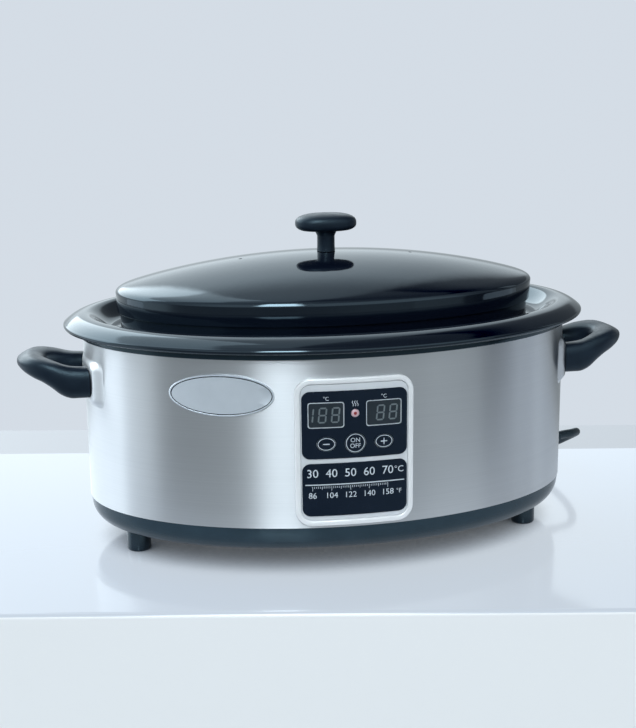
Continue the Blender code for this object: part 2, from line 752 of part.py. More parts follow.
def make_feet():
    head_top = FOOT_RECESS
    head_bottom = head_top - FOOT_SCREW_HEAD
    screw_top = TRAY_BOTTOM_Z + TRAY_WALL + BOSS_HEIGHT - GAP
    for side in (-1, 1):
        for level in (-1, 1):
            label = f"{front_name(level)}_{side_name(side)}"
            profile = (
                (FOOT_RADIUS, FOOT_HEIGHT),
                (FOOT_RADIUS, FOOT_EDGE),
                (FOOT_RADIUS - FOOT_EDGE, 0),
                (FOOT_SCREW_HEAD_RADIUS + GAP, 0),
                (FOOT_SCREW_HEAD_RADIUS + GAP, head_top + GAP),
                (FOOT_SCREW_RADIUS + GAP, head_top + GAP),
                (FOOT_SCREW_RADIUS + GAP, FOOT_HEIGHT),
                (FOOT_RADIUS, FOOT_HEIGHT),
            )
            mesh = turned_mesh(f"foot_{label}", profile)
            mesh.transform(Matrix.Translation((side * FOOT_X, level * FOOT_Y, 0)))
            place(f"foot_{label}", mesh, "foot_plastic")
            screw = turned_mesh(
                f"foot_screw_{label}",
                (
                    (0, screw_top),
                    (FOOT_SCREW_RADIUS, screw_top),
                    (FOOT_SCREW_RADIUS, head_top),
                    (FOOT_SCREW_HEAD_RADIUS, head_top),
                    (FOOT_SCREW_HEAD_RADIUS, head_bottom),
                    (0, head_bottom),
                ),
                SMALL_ROUND_SEGMENTS,
            )
            screw.transform(Matrix.Translation((side * FOOT_X, level * FOOT_Y, 0)))
            place(f"foot_screw_{label}", screw, "zinc")


def make_collar():
    rings = [
        body_ring(GAP, COLLAR_BOTTOM_Z),
        body_ring(GAP + COLLAR_WALL, COLLAR_BOTTOM_Z),
        body_ring(GAP + COLLAR_WALL, WALL_TOP_Z + COLLAR_SHOULDER),
        body_ring(-COLLAR_TOP_INSET, COLLAR_TOP_Z),
        body_ring(-COLLAR_TOP_INSET - COLLAR_TOP_WIDTH, COLLAR_TOP_Z),
        body_ring(-COLLAR_INNER_INSET, COLLAR_TOP_Z - COLLAR_INNER_DROP),
        body_ring(-COLLAR_INNER_INSET, COLLAR_BOTTOM_Z),
        body_ring(-WALL_SHEET - GAP, COLLAR_BOTTOM_Z),
        body_ring(-WALL_SHEET - GAP, WALL_TOP_Z + GAP),
        body_ring(GAP, WALL_TOP_Z + GAP),
        body_ring(GAP, COLLAR_BOTTOM_Z),
    ]
    place("top_collar", oval_mesh("top_collar", rings, closed=True), "dark_plastic")


def turn_rings(inset, low, radius):
    """Rings that turn from a wall into a floor with a rounded corner."""
    rings = []
    for share in BOTTOM_TURN_SHARES:
        angle = math.pi / 2 * share
        rings.append(body_ring(-inset - radius * (1 - math.cos(angle)), low + radius * (1 - math.sin(angle))))
    return rings


def make_well():
    neck_inset = COLLAR_INNER_INSET + GAP + WELL_SHEET
    neck_z = WELL_TOP_Z - WELL_NECK_DEPTH
    rings = [
        body_ring(-WELL_FLANGE_INSET, WELL_TOP_Z),
        body_ring(-WELL_FLANGE_INSET - WELL_FLANGE_WIDTH, WELL_TOP_Z),
        body_ring(-neck_inset, COLLAR_TOP_Z - COLLAR_INNER_DROP),
        body_ring(-neck_inset, neck_z),
        body_ring(-WELL_INSET - WELL_SHEET, neck_z - WELL_CORNER / 2),
    ]
    rings += turn_rings(WELL_INSET + WELL_SHEET, WELL_BOTTOM, WELL_CORNER)
    well = place("liner_well", oval_mesh("liner_well", rings, capped=True), "aluminium")
    solidify(well, WELL_SHEET)


def make_stud():
    top = WELL_BOTTOM - WELL_SHEET - GAP
    nut_top = TRAY_BOTTOM_Z - GAP
    bottom = nut_top - NUT_HEIGHT - STUD_TAIL
    place("centre_stud", rod_mesh("centre_stud", (0, 0, bottom), (0, 0, top), STUD_RADIUS), "zinc")
    outline = oval(NUT_RADIUS, NUT_RADIUS, count=6)
    bore = oval(STUD_RADIUS + GAP, STUD_RADIUS + GAP, count=SMALL_ROUND_SEGMENTS)
    mesh = flat_mesh("centre_nut", [outline, bore], NUT_HEIGHT)
    mesh.transform(Matrix.Translation((0, 0, nut_top - NUT_HEIGHT / 2)))
    place("centre_nut", mesh, "zinc")


def make_heating():
    inner = -WELL_INSET + GAP
    outer = inner + HEATER_SHEET
    top = HEATER_BOTTOM + HEATER_HEIGHT
    rings = [
        body_ring(inner, HEATER_BOTTOM),
        body_ring(outer, HEATER_BOTTOM),
        body_ring(outer, top),
        body_ring(inner, top),
        body_ring(inner, HEATER_BOTTOM),
    ]
    place("heater_band", oval_mesh("heater_band", rings, closed=True), "mica")
    fuse_y = BODY_HALF_DEPTH + outer + GAP + FUSE_RADIUS
    fuse_z = HEATER_BOTTOM + HEATER_HEIGHT / 2
    fuse = rod_mesh("thermal_fuse", (-FUSE_LENGTH / 2, fuse_y, fuse_z), (FUSE_LENGTH / 2, fuse_y, fuse_z),
                    FUSE_RADIUS, segments=SMALL_ROUND_SEGMENTS)
    place("thermal_fuse", fuse, "aluminium")
    sensor_top = SENSOR_BOTTOM_Z + SENSOR_HEIGHT
    sensor = rod_mesh("ntc_sensor", (SENSOR_X, 0, SENSOR_BOTTOM_Z), (SENSOR_X, 0, sensor_top), SENSOR_RADIUS)
    place("ntc_sensor", sensor, "aluminium")


# Pan and lid

def rim_rings():
    """The pan's rim: its bead, the roll up to the crest, and the slope down to the lid's channel."""
    width = RIM_OVERHANG - RIM_LEDGE + RIM_CREST_INSET
    edge_z = RIM_CREST_Z - RIM_DROP
    rings = [
        body_ring(RIM_OVERHANG, edge_z - RIM_BEAD),
        body_ring(RIM_OVERHANG, edge_z - RIM_BEAD / 4),
    ]
    for share in RIM_ROLL_SHARES:
        rings.append(body_ring(-RIM_CREST_INSET + width * share, RIM_CREST_Z - RIM_DROP * share ** RIM_ROLL_POWER))
    slope = CHANNEL_INSET - RIM_CREST_INSET
    for share in CHANNEL_SLOPE_SHARES:
        drop = share * share * (3 - 2 * share)
        rings.append(body_ring(-RIM_CREST_INSET - slope * share, RIM_CREST_Z - CHANNEL_DROP * drop))
    return rings


def make_pan():
    rings = rim_rings()
    channel_end = CHANNEL_INSET + CHANNEL_WIDTH
    wall_inset = channel_end + PAN_CORNER
    rings += [
        body_ring(-channel_end, CHANNEL_Z),
        body_ring(-wall_inset, CHANNEL_Z - PAN_CORNER),
    ]
    rings += turn_rings(wall_inset + PAN_DRAFT, PAN_FLOOR_Z, PAN_BOTTOM_RADIUS)
    pan = place("pan", oval_mesh("pan", rings, capped=True), "enamel")
    solidify(pan, PAN_SHEET)


def lid_height(share):
    """Height of the dome at a share of its half length."""
    return LID_SHOULDER_Z + LID_DOME_HEIGHT * (1 - share * share) ** LID_DOME_POWER


def make_lid():
    half_length = BODY_HALF_LENGTH - LID_INSET
    half_depth = BODY_HALF_DEPTH - LID_INSET
    neck = LID_INSET + LID_NECK_STEP
    rings = [
        body_ring(-neck, LID_BOTTOM_Z),
        body_ring(-neck, LID_STEP_Z),
        body_ring(-LID_INSET, LID_STEP_Z),
    ]
    rings += [(half_length * share, half_depth * share, lid_height(share)) for share in LID_RING_SHARES]
    lid = place("lid_shell", oval_mesh("lid_shell", rings, capped=True), "enamel")
    solidify(lid, LID_SHEET)
    hole_low = LID_TOP_Z - LID_DOME_HEIGHT / 2
    hole_high = LID_TOP_Z + CUT_OVERRUN
    hole = rod_mesh("cut_knob_hole", (0, 0, hole_low), (0, 0, hole_high), KNOB_SCREW_RADIUS + GAP,
                    segments=SMALL_ROUND_SEGMENTS)
    cut(lid, cutter("cut_knob_hole", hole))
    for side in (-1, 1):
        name = f"cut_lid_vent_{side_name(side)}"
        x = side * LID_VENT_X
        vent = rod_mesh(name, (x, 0, hole_low), (x, 0, hole_high), LID_VENT_RADIUS,
                        segments=SMALL_ROUND_SEGMENTS)
        cut(lid, cutter(name, vent))


def knob_cap_mesh():
    """A flattened oval loaf: a sphere whose plan and side are drawn out to fuller curves."""
    shape = bmesh.new()
    bmesh.ops.create_uvsphere(shape, u_segments=ROUND_SEGMENTS, v_segments=SMALL_ROUND_SEGMENTS, radius=1)
    low = KNOB_BOTTOM_Z + KNOB_STEM_HEIGHT
    middle = low + KNOB_CAP_HEIGHT * KNOB_MIDDLE_SHARE
    for vert in shape.verts:
        around = math.atan2(vert.co.y, vert.co.x)
        rise = math.asin(max(-1, min(1, vert.co.z)))
        level = math.copysign(abs(math.sin(rise)) ** (2 / KNOB_SIDE_POWER), vert.co.z)
        reach = math.cos(rise) ** (2 / KNOB_SIDE_POWER)
        height = KNOB_CAP_HEIGHT * (1 - KNOB_MIDDLE_SHARE) if level > 0 else KNOB_CAP_HEIGHT * KNOB_MIDDLE_SHARE
        along = math.copysign(abs(math.cos(around)) ** (2 / KNOB_PLAN_POWER), math.cos(around))
        across = math.copysign(abs(math.sin(around)) ** (2 / KNOB_PLAN_POWER), math.sin(around))
        vert.co = (
            KNOB_HALF_LENGTH * reach * along,
            KNOB_HALF_DEPTH * reach * across,
            middle + height * level,
        )
    return finish_shape("knob_cap", shape)


def make_knob():
    low = KNOB_BOTTOM_Z
    high = KNOB_BOTTOM_Z + KNOB_STEM_HEIGHT + KNOB_CAP_HEIGHT / 2
    stem = turned_mesh(
        "lid_knob",
        (
            (0, high),
            (KNOB_STEM_RADIUS, high),
            (KNOB_STEM_RADIUS, low + KNOB_STEM_HEIGHT / 4),
            (KNOB_STEM_RADIUS + KNOB_STEM_FLARE / 2, low + KNOB_STEM_HEIGHT / 12),
            (KNOB_STEM_RADIUS + KNOB_STEM_FLARE, low),
            (0, low),
        ),
    )
    knob = place("lid_knob", stem, "phenolic")
    combine(knob, cutter("knob_cap", knob_cap_mesh()), "UNION")
    bore = rod_mesh(
        "cut_knob_bore",
        (0, 0, low - CUT_OVERRUN),
        (0, 0, low + KNOB_SCREW_LENGTH),
        KNOB_SCREW_RADIUS + GAP,
        segments=SMALL_ROUND_SEGMENTS,
    )
    cut(knob, cutter("cut_knob_bore", bore))
    washer_top = LID_TOP_Z - LID_SHEET - GAP
    washer_low = washer_top - KNOB_WASHER_SHEET
    outline = oval(KNOB_WASHER_RADIUS, KNOB_WASHER_RADIUS)
    hole = oval(KNOB_SCREW_RADIUS + GAP, KNOB_SCREW_RADIUS + GAP, count=SMALL_ROUND_SEGMENTS)
    washer = flat_mesh("knob_washer", [outline, hole], KNOB_WASHER_SHEET)
    washer.transform(Matrix.Translation((0, 0, washer_low + KNOB_WASHER_SHEET / 2)))
    place("knob_washer", washer, "zinc")
    head_top = washer_low - GAP
    tip = low + KNOB_SCREW_LENGTH - GAP
    screw = turned_mesh(
        "knob_screw",
        (
            (0, tip),
            (KNOB_SCREW_RADIUS, tip),
            (KNOB_SCREW_RADIUS, head_top),
            (KNOB_SCREW_HEAD_RADIUS, head_top),
            (KNOB_SCREW_HEAD_RADIUS, head_top - KNOB_SCREW_HEAD),
            (0, head_top - KNOB_SCREW_HEAD),
        ),
        SMALL_ROUND_SEGMENTS,
    )
    place("knob_screw", screw, "zinc")


# Handles

def handle_screw_z():
    return (HANDLE_TOPS[0] + HANDLE_UNDERSIDES[0]) / 2


def rounded_share(value, power):
    """A cosine or sine drawn out to a fuller curve."""
    return math.copysign(abs(value) ** (2 / power), value)


def table_height(heights, share):
    """Height on a smooth curve through evenly spaced ones."""
    span = len(heights) - 1
    place_along = max(0.0, min(1.0, share)) * span
    index = min(int(place_along), span - 1)
    t = place_along - index
    before = heights[max(index - 1, 0)]
    first = heights[index]
    second = heights[index + 1]
    after = heights[min(index + 2, span)]
    return 0.5 * (2 * first + (second - before) * t + (2 * before - 5 * first + 4 * second - after) * t ** 2
                  + (3 * first - before - 3 * second + after) * t ** 3)


def root_setback(y):
    """How far the handle's root lies behind its middle, to follow the body's curve."""
    fall = BODY_HALF_LENGTH * (1 - math.sqrt(1 - (y / BODY_HALF_DEPTH) ** 2))
    return fall * HANDLE_SETBACK_SHARE


def tongue_point(angle, reach, half_width, power):
    """How far out a tongue's edge stands at an angle, its place across, and its share of the reach."""
    share = rounded_share(max(0.0, math.cos(angle)), power)
    return reach * share, half_width * rounded_share(math.sin(angle), power), share


def handle_ring(angle):
    """One rounded section of the grip, between the finger hole and the outside."""
    outer = Vector(tongue_point(angle, HANDLE_PROJECTION, HANDLE_HALF_WIDTH, HANDLE_OUTLINE_POWER))
    inner = Vector(tongue_point(angle, HANDLE_HOLE_REACH, HANDLE_HOLE_HALF_WIDTH, HANDLE_HOLE_POWER))
    ring = []
    for index in range(HANDLE_SECTION_POINTS):
        turn = 2 * math.pi * index / HANDLE_SECTION_POINTS
        across = (1 + rounded_share(math.cos(turn), HANDLE_SECTION_POWER)) / 2
        level = (1 + rounded_share(math.sin(turn), HANDLE_SECTION_POWER)) / 2
        out, y, share = inner.lerp(outer, across)
        x = HANDLE_INNER_X + out - root_setback(y) * (1 - share)
        low = table_height(HANDLE_UNDERSIDES, out / HANDLE_PROJECTION)
        high = table_height(HANDLE_TOPS, out / HANDLE_PROJECTION)
        ring.append((x, y, low + (high - low) * level))
    return ring


def loft_mesh(name, rings):
    """Skin a row of closed rings with the same number of points, and close both ends."""
    shape = bmesh.new()
    rows = [[shape.verts.new(point) for point in ring] for ring in rings]
    count = len(rows[0])
    for first, second in zip(rows, rows[1:]):
        for index in range(count):
            following = (index + 1) % count
            shape.faces.new((first[index], first[following], second[following], second[index]))
    shape.faces.new(rows[0])
    shape.faces.new(rows[-1])
    bmesh.ops.recalc_face_normals(shape, faces=shape.faces)
    return finish_shape(name, shape)


def mirrored(mesh, side):
    """Keep a shape drawn for the right side, or turn it over for the left."""
    if side < 0:
        mesh.transform(Matrix.Diagonal((-1, 1, 1, 1)))
        mesh.flip_normals()
    return mesh


def pad_face(share):
    """X and Y of the seat's outer face under a handle. Its ends sink into the body."""
    y = (HANDLE_HALF_WIDTH + HANDLE_PAD_MARGIN) * share
    sink = HANDLE_PAD_END_SINK if abs(share) == 1 else 0
    return HANDLE_INNER_X - GAP - root_setback(y) - sink, y


def pad_ring(share):
    """One section of the seat under a handle: flat where the root lies, and sloped into the body."""
    outer, y = pad_face(share)
    back = pad_face(1)[0] - HANDLE_PAD_SHEET
    growth = (outer - back) * HANDLE_PAD_SLOPE_SHARE
    low = handle_screw_z() - HANDLE_PAD_HALF_HEIGHT
    high = handle_screw_z() + HANDLE_PAD_HALF_HEIGHT
    return [(back, y, low - growth), (outer, y, low), (outer, y, high), (back, y, high + growth)]


def make_handle(side):
    label = side_name(side)
    half = [math.acos(share ** (HANDLE_OUTLINE_POWER / 2)) for share in HANDLE_STATION_SHARES]
    angles = [-angle for angle in half] + [0] + half[::-1]
    mesh = loft_mesh(f"handle_{label}", [handle_ring(angle) for angle in angles])
    handle = place(f"handle_{label}", mirrored(mesh, side), "phenolic")
    pad_mesh = loft_mesh(f"handle_pad_{label}", [pad_ring(share) for share in HANDLE_PAD_SHARES])
    pad = place(f"handle_pad_{label}", mirrored(pad_mesh, side), "steel")
    low, high = (pad_ring(0)[corner][2] for corner in (0, -1))
    body = oval_mesh(f"cut_pad_seat_{label}", [body_ring(GAP, low - CUT_OVERRUN), body_ring(GAP, high + CUT_OVERRUN)])
    cut(pad, cutter(f"cut_pad_seat_{label}", close_ends(body)))
    for level in (-1, 1):
        add_handle_screw(side, level, handle, pad)


def close_ends(mesh):
    shape = bmesh.new()
    shape.from_mesh(mesh)
    bmesh.ops.holes_fill(shape, edges=shape.edges)
    bmesh.ops.recalc_face_normals(shape, faces=shape.faces)
    shape.to_mesh(mesh)
    shape.free()
    return mesh


def add_handle_screw(side, level, handle, pad):
    label = f"{side_name(side)}_{front_name(level)}"
    y = level * HANDLE_SCREW_Y
    z = handle_screw_z()
    edge_y = abs(y) + HANDLE_SCREW_HEAD_RADIUS
    wall_x = facet_reach(edge_y, BODY_HALF_LENGTH - WALL_SHEET, BODY_HALF_DEPTH - WALL_SHEET)
    head_x = wall_x - GAP
    tip_x = HANDLE_INNER_X + HANDLE_SCREW_LENGTH
    bore_end = tip_x + GAP
    bore_start = HANDLE_INNER_X - CUT_OVERRUN - (BODY_HALF_LENGTH - head_x)
    name = f"cut_handle_bore_{label}"
    bore = rod_mesh(name, (side * bore_start, y, z), (side * bore_end, y, z), HANDLE_SCREW_RADIUS + GAP,
                    segments=SMALL_ROUND_SEGMENTS)
    tool = cutter(name, bore)
    cut(handle, tool)
    cut(pad, tool)
    screw = turned_mesh(
        f"handle_screw_{label}",
        (
            (0, tip_x),
            (HANDLE_SCREW_RADIUS, tip_x),
            (HANDLE_SCREW_RADIUS, head_x),
            (HANDLE_SCREW_HEAD_RADIUS, head_x),
            (HANDLE_SCREW_HEAD_RADIUS, head_x - HANDLE_SCREW_HEAD),
            (0, head_x - HANDLE_SCREW_HEAD),
        ),
        SMALL_ROUND_SEGMENTS,
    )
    lay = Matrix(((0, 0, side, 0), (0, side, 0, 0), (-1, 0, 0, 0), (0, 0, 0, 1)))
    screw.transform(Matrix.Translation((0, y, z)) @ lay)
    place(f"handle_screw_{label}", screw, "zinc")


# Control panel

def key_outline(name, growth):
    if name == "power":
        return oval(POWER_KEY_RADIUS + growth, POWER_KEY_RADIUS + growth, (0, KEY_Z))
    side = -1 if name == "minus" else 1
    return oval(KEY_HALF_LENGTH + growth, KEY_HALF_HEIGHT + growth, (side * KEY_X, KEY_Z))


def make_panel():
    centre = (0, PANEL_CENTRE_Z)
    opening_half_width = PANEL_HALF_WIDTH - BEZEL_WIDTH
    opening_half_height = PANEL_HALF_HEIGHT - BEZEL_WIDTH
    opening_corner = PANEL_CORNER - BEZEL_WIDTH
    bezel = wrapped_mesh(
        "panel_bezel",
        [
            rounded_box(PANEL_HALF_WIDTH, PANEL_HALF_HEIGHT, PANEL_CORNER, centre),
            rounded_box(opening_half_width, opening_half_height, opening_corner, centre),
        ],
        GAP,
        BEZEL_THICKNESS,
    )
    place("panel_bezel", bezel, "bezel_silver")
    windows = [
        rounded_box(WINDOW_HALF_WIDTH + GAP, WINDOW_HALF_HEIGHT + GAP, WINDOW_CORNER, (side * WINDOW_X, WINDOW_Z), 2)
        for side in (-1, 1)
    ]
    lens = oval(LENS_RADIUS + GAP, LENS_RADIUS + GAP, (0, LENS_Z), SMALL_ROUND_SEGMENTS)
    holes = windows + [lens] + [key_outline(key, GAP) for key in ("minus", "power", "plus")]
    plate_outline = rounded_box(
        opening_half_width - GAP,
        opening_half_height - GAP,
        opening_corner - GAP,
        centre,
    )
    plate = wrapped_mesh("panel_plate", [plate_outline] + holes, GAP, PLATE_THICKNESS)
    place("panel_plate", plate, "bezel_silver")
    overlay_lift = GAP + PLATE_THICKNESS + GAP
    upper = rounded_box(OVERLAY_HALF_WIDTH, UPPER_OVERLAY_HALF_HEIGHT, OVERLAY_CORNER, (0, UPPER_OVERLAY_Z))
    overlay = wrapped_mesh("control_overlay", [upper] + holes, overlay_lift, OVERLAY_THICKNESS)
    place("control_overlay", overlay, "overlay_black")
    lower = rounded_box(OVERLAY_HALF_WIDTH, LOWER_OVERLAY_HALF_HEIGHT, OVERLAY_CORNER, (0, LOWER_OVERLAY_Z))
    label = wrapped_mesh("info_label", [lower], overlay_lift, OVERLAY_THICKNESS)
    place("info_label", label, "overlay_black")
    make_windows()
    make_keys()


def make_windows():
    thickness = PLATE_THICKNESS + GAP + OVERLAY_THICKNESS
    for side in (-1, 1):
        name = f"window_{side_name(side)}"
        outline = rounded_box(WINDOW_HALF_WIDTH, WINDOW_HALF_HEIGHT, WINDOW_CORNER, (side * WINDOW_X, WINDOW_Z), 2)
        place(name, wrapped_mesh(name, [outline], GAP, thickness), "window_smoke")
    outline = oval(LENS_RADIUS, LENS_RADIUS, (0, LENS_Z), SMALL_ROUND_SEGMENTS)
    place("led_lens", wrapped_mesh("led_lens", [outline], GAP, thickness + LENS_RADIUS / 4), "lens_red")


def make_keys():
    for name in ("minus", "power", "plus"):
        mesh = wrapped_mesh(f"key_{name}", [key_outline(name, 0)], KEY_BACK_LIFT, KEY_THICKNESS)
        centre = Vector((key_x(name), front_y(key_x(name), KEY_BACK_LIFT), KEY_Z))
        mesh.transform(Matrix.Translation(-centre))
        key = place(f"key_{name}", mesh, "overlay_black")
        key.location = centre


def key_x(name):
    return {"minus": -KEY_X, "power": 0.0, "plus": KEY_X}[name]


def carrier_front():
    """Y of the carrier's front face, which clears the wall's inner side at the carrier's ends."""
    inside_half_depth = BODY_HALF_DEPTH - WALL_SHEET
    inside_half_length = BODY_HALF_LENGTH - WALL_SHEET
    return GAP - facet_reach(CARRIER_HALF_WIDTH, inside_half_depth, inside_half_length)


def make_controls():
    front = carrier_front()
    back = front + CARRIER_DEPTH
    outer = rounded_box(CARRIER_HALF_WIDTH, CARRIER_HALF_HEIGHT, CARRIER_BAR / 2, (0, WALL_WINDOW_Z), 2)
    inner = rounded_box(
        CARRIER_HALF_WIDTH - CARRIER_BAR,
        CARRIER_HALF_HEIGHT - CARRIER_BAR,
        CARRIER_BAR / 4,
        (0, WALL_WINDOW_Z),
        2,
    )
    place("board_carrier", standing_mesh("board_carrier", [outer, inner], front, back), "component_black")
    board_front = back + GAP
    board_back = board_front + BOARD_SHEET
    board = box_mesh(
        "control_board",
        (-BOARD_HALF_WIDTH, board_front, WALL_WINDOW_Z - BOARD_HALF_HEIGHT),
        (BOARD_HALF_WIDTH, board_back, WALL_WINDOW_Z + BOARD_HALF_HEIGHT),
    )
    place("control_board", board, "board_green")
    parts_back = board_front - GAP
    for side in (-1, 1):
        name = f"display_{side_name(side)}"
        module = box_mesh(
            name,
            (side * WINDOW_X - DISPLAY_HALF_WIDTH, parts_back - DISPLAY_DEPTH, WINDOW_Z - DISPLAY_HALF_HEIGHT),
            (side * WINDOW_X + DISPLAY_HALF_WIDTH, parts_back, WINDOW_Z + DISPLAY_HALF_HEIGHT),
        )
        place(name, module, "component_black")
    lamp = rod_mesh("led_lamp", (0, parts_back, LENS_Z), (0, parts_back - LAMP_LENGTH, LENS_Z), LAMP_RADIUS,
                    segments=SMALL_ROUND_SEGMENTS)
    place("led_lamp", lamp, "lens_red")
    for name in ("minus", "power", "plus"):
        make_switch(name, parts_back)


def standing_mesh(name, outlines, front, back):
    """A plate drawn in front view that stands upright between two places along Y."""
    mesh = flat_mesh(name, outlines, back - front)
    upright = Matrix(((1, 0, 0, 0), (0, 0, -1, (front + back) / 2), (0, 1, 0, 0), (0, 0, 0, 1)))
    mesh.transform(upright)
    return mesh


def make_switch(name, back):
    x = key_x(name)
    body = box_mesh(
        f"switch_{name}",
        (x - SWITCH_HALF_SIZE, back - SWITCH_DEPTH, KEY_Z - SWITCH_HALF_SIZE),
        (x + SWITCH_HALF_SIZE, back, KEY_Z + SWITCH_HALF_SIZE),
    )
    switch = place(f"switch_{name}", body, "component_black")
    edge = abs(x) + (POWER_KEY_RADIUS if name == "power" else KEY_HALF_LENGTH)
    plunger_front = front_y(edge, KEY_BACK_LIFT) + KEY_FREE_TRAVEL
    plunger = rod_mesh(
        f"plunger_{name}",
        (x, back - SWITCH_DEPTH / 2, KEY_Z),
        (x, plunger_front, KEY_Z),
        SWITCH_PLUNGER_RADIUS,
        segments=SMALL_ROUND_SEGMENTS,
    )
    combine(switch, cutter(f"plunger_{name}", plunger), "UNION")


def make_power_parts():
    floor = TRAY_BOTTOM_Z + TRAY_WALL
    board_low = floor + POWER_BOARD_POST + GAP
    board_high = board_low + BOARD_SHEET
    board = box_mesh(
        "power_board",
        (POWER_BOARD_X - POWER_BOARD_HALF_LENGTH, -POWER_BOARD_HALF_DEPTH, board_low),
        (POWER_BOARD_X + POWER_BOARD_HALF_LENGTH, POWER_BOARD_HALF_DEPTH, board_high),
    )
    place("power_board", board, "board_green")
    block = box_mesh(
        "terminal_block",
        (TERMINAL_X - TERMINAL_LENGTH / 2, TERMINAL_Y - TERMINAL_WIDTH / 2, floor + GAP),
        (TERMINAL_X + TERMINAL_LENGTH / 2, TERMINAL_Y + TERMINAL_WIDTH / 2, floor + GAP + TERMINAL_HEIGHT),
    )
    place("terminal_block", block, "component_black")


def make_badge():
    outline = oval(BADGE_HALF_WIDTH, BADGE_HALF_HEIGHT, (BADGE_X, BADGE_Z), OVAL_SEGMENTS // 2)
    place("badge_plate", wrapped_mesh("badge_plate", [outline], GAP, BADGE_THICKNESS), "bezel_silver")


# Mains lead

def make_strain_relief():
    """A tapered sleeve whose neck passes through the wall, with a flange on each side."""
    wall, across = wall_frame(CORD_ANGLE, CORD_HEIGHT)
    flange_top = GAP + RELIEF_FLANGE
    inner = -WALL_SHEET - RELIEF_INNER_GAP
    profile = (
        (0, RELIEF_LENGTH),
        (RELIEF_TIP_RADIUS, RELIEF_LENGTH),
        (RELIEF_ROOT_RADIUS, flange_top),
        (RELIEF_FLANGE_RADIUS, flange_top),
        (RELIEF_FLANGE_RADIUS, GAP),
        (RELIEF_NECK_RADIUS, GAP),
        (RELIEF_NECK_RADIUS, inner),
        (RELIEF_ROOT_RADIUS, inner),
        (RELIEF_ROOT_RADIUS, inner - RELIEF_INNER_LENGTH),
        (0, inner - RELIEF_INNER_LENGTH),
    )
    mesh = turned_mesh("strain_relief", profile)
    turn = across.to_track_quat("Z", "Y").to_matrix().to_4x4()
    mesh.transform(Matrix.Translation(wall) @ turn)
    place("strain_relief", mesh, "cord_rubber")
    return wall, across


def smooth_line(points, count):
    """Even points along a Catmull-Rom curve through the given ones."""
    points = [Vector(point) for point in points]
    padded = [2 * points[0] - points[1]] + points + [2 * points[-1] - points[-2]]
    fine = []
    steps = 24
    for index in range(1, len(padded) - 2):
        a, b, c, d = padded[index - 1:index + 3]
        for step in range(steps):
            t = step / steps
            fine.append(0.5 * (2 * b + (c - a) * t + (2 * a - 5 * b + 4 * c - d) * t ** 2
                               + (3 * b - a - 3 * c + d) * t ** 3))
    fine.append(points[-1])
    lengths = [0.0]
    for first, second in zip(fine, fine[1:]):
        lengths.append(lengths[-1] + (second - first).length)
    line = []
    place_index = 0
    for index in range(count):
        target = lengths[-1] * index / (count - 1)
        while place_index < len(fine) - 2 and lengths[place_index + 1] < target:
            place_index += 1
        span = lengths[place_index + 1] - lengths[place_index]
        share = (target - lengths[place_index]) / span
        line.append(fine[place_index].lerp(fine[place_index + 1], share))
    return line, lengths[-1]


def smooth_step(share):
    share = max(0.0, min(1.0, share))
    return share * share * (3 - 2 * share)


def coil_radius(turn):
    half = COIL_TURNS / 2
    return COIL_MEAN_RADIUS + COIL_PITCH * half / 2 - COIL_PITCH * min(turn, COIL_TURNS - turn)


def coil_points():
    """Loops that spiral in, climb a layer where the spiral turns back, and spiral out again."""
    half = COIL_TURNS / 2
    steps = round(COIL_TURNS * COIL_STEPS_PER_TURN)
    points = []
    for step in range(steps + 1):
        turn = COIL_TURNS * step / steps
        radius = coil_radius(turn)
        climb = max(0.0, min(1.0, (turn - half) * 2 + 0.5))
        angle = COIL_START + 2 * math.pi * turn
        points.append(Vector((
            COIL_CENTRE_X + radius * math.cos(angle),
            COIL_CENTRE_Y + radius * math.sin(angle),
            COIL_BOTTOM_Z + COIL_PITCH * smooth_step(climb),
        )))
    return points


def heading(angle):
    return Vector((-math.sin(angle), math.cos(angle), 0))


def make_cord(wall, across):
    diameter = 2 * CORD_RADIUS
    loops = coil_points()
    lead_in = heading(COIL_START)
    coil_start = loops[0] - lead_in * diameter
    exit_point = wall + across * (RELIEF_LENGTH + GAP)
    route = [exit_point, exit_point + across * diameter]
    route += [Vector(point) for point in CORD_ROUTE]
    route += [coil_start - lead_in * (diameter + GAP), coil_start - lead_in * GAP]
    line, free_length = smooth_line(route, CORD_POINTS)
    line[1] = line[0] + across * (line[1] - line[0]).length
    line[-2] = line[-1] - lead_in * (line[-1] - line[-2]).length
    tube("power_cord", line, CORD_RADIUS, 2, "cord_rubber")
    end_angle = COIL_START + 2 * math.pi * COIL_TURNS
    lead_out = heading(end_angle)
    tail = loops[-1] + lead_out * COIL_TAIL
    coil = [coil_start] + loops + [loops[-1] + lead_out * COIL_TAIL / 2, tail]
    tube("cord_coil", coil, CORD_RADIUS, 1, "cord_rubber")
    coil_length = sum((second - first).length for first, second in zip(coil, coil[1:]))
    print(f"cord: free stretch {free_length:.3f} m, coil {coil_length:.3f} m")
    print(f"least gap of the coil to itself {least_gap(coil) * 1000:.2f} mm")
    make_tie()
    make_plug(tail, lead_out)
    inner = wall - across * (WALL_SHEET + RELIEF_INNER_GAP + RELIEF_INNER_LENGTH + GAP)
    block_top = Vector((
        TERMINAL_X + TERMINAL_LENGTH / 2 + GAP,
        TERMINAL_Y,
        TRAY_BOTTOM_Z + TRAY_WALL + TERMINAL_HEIGHT / 2,
    ))
    bend = inner.lerp(block_top, 0.5)
    lead, lead_length = smooth_line(
        [inner, inner - across * diameter, bend, block_top + Vector((diameter, 0, 0)), block_top],
        12,
    )
    lead[1] = lead[0] - across * (lead[1] - lead[0]).length
    lead[-2] = lead[-1] + Vector(((lead[-1] - lead[-2]).length, 0, 0))
    tube("mains_lead_inside", lead, CORD_RADIUS, 2, "cord_rubber")


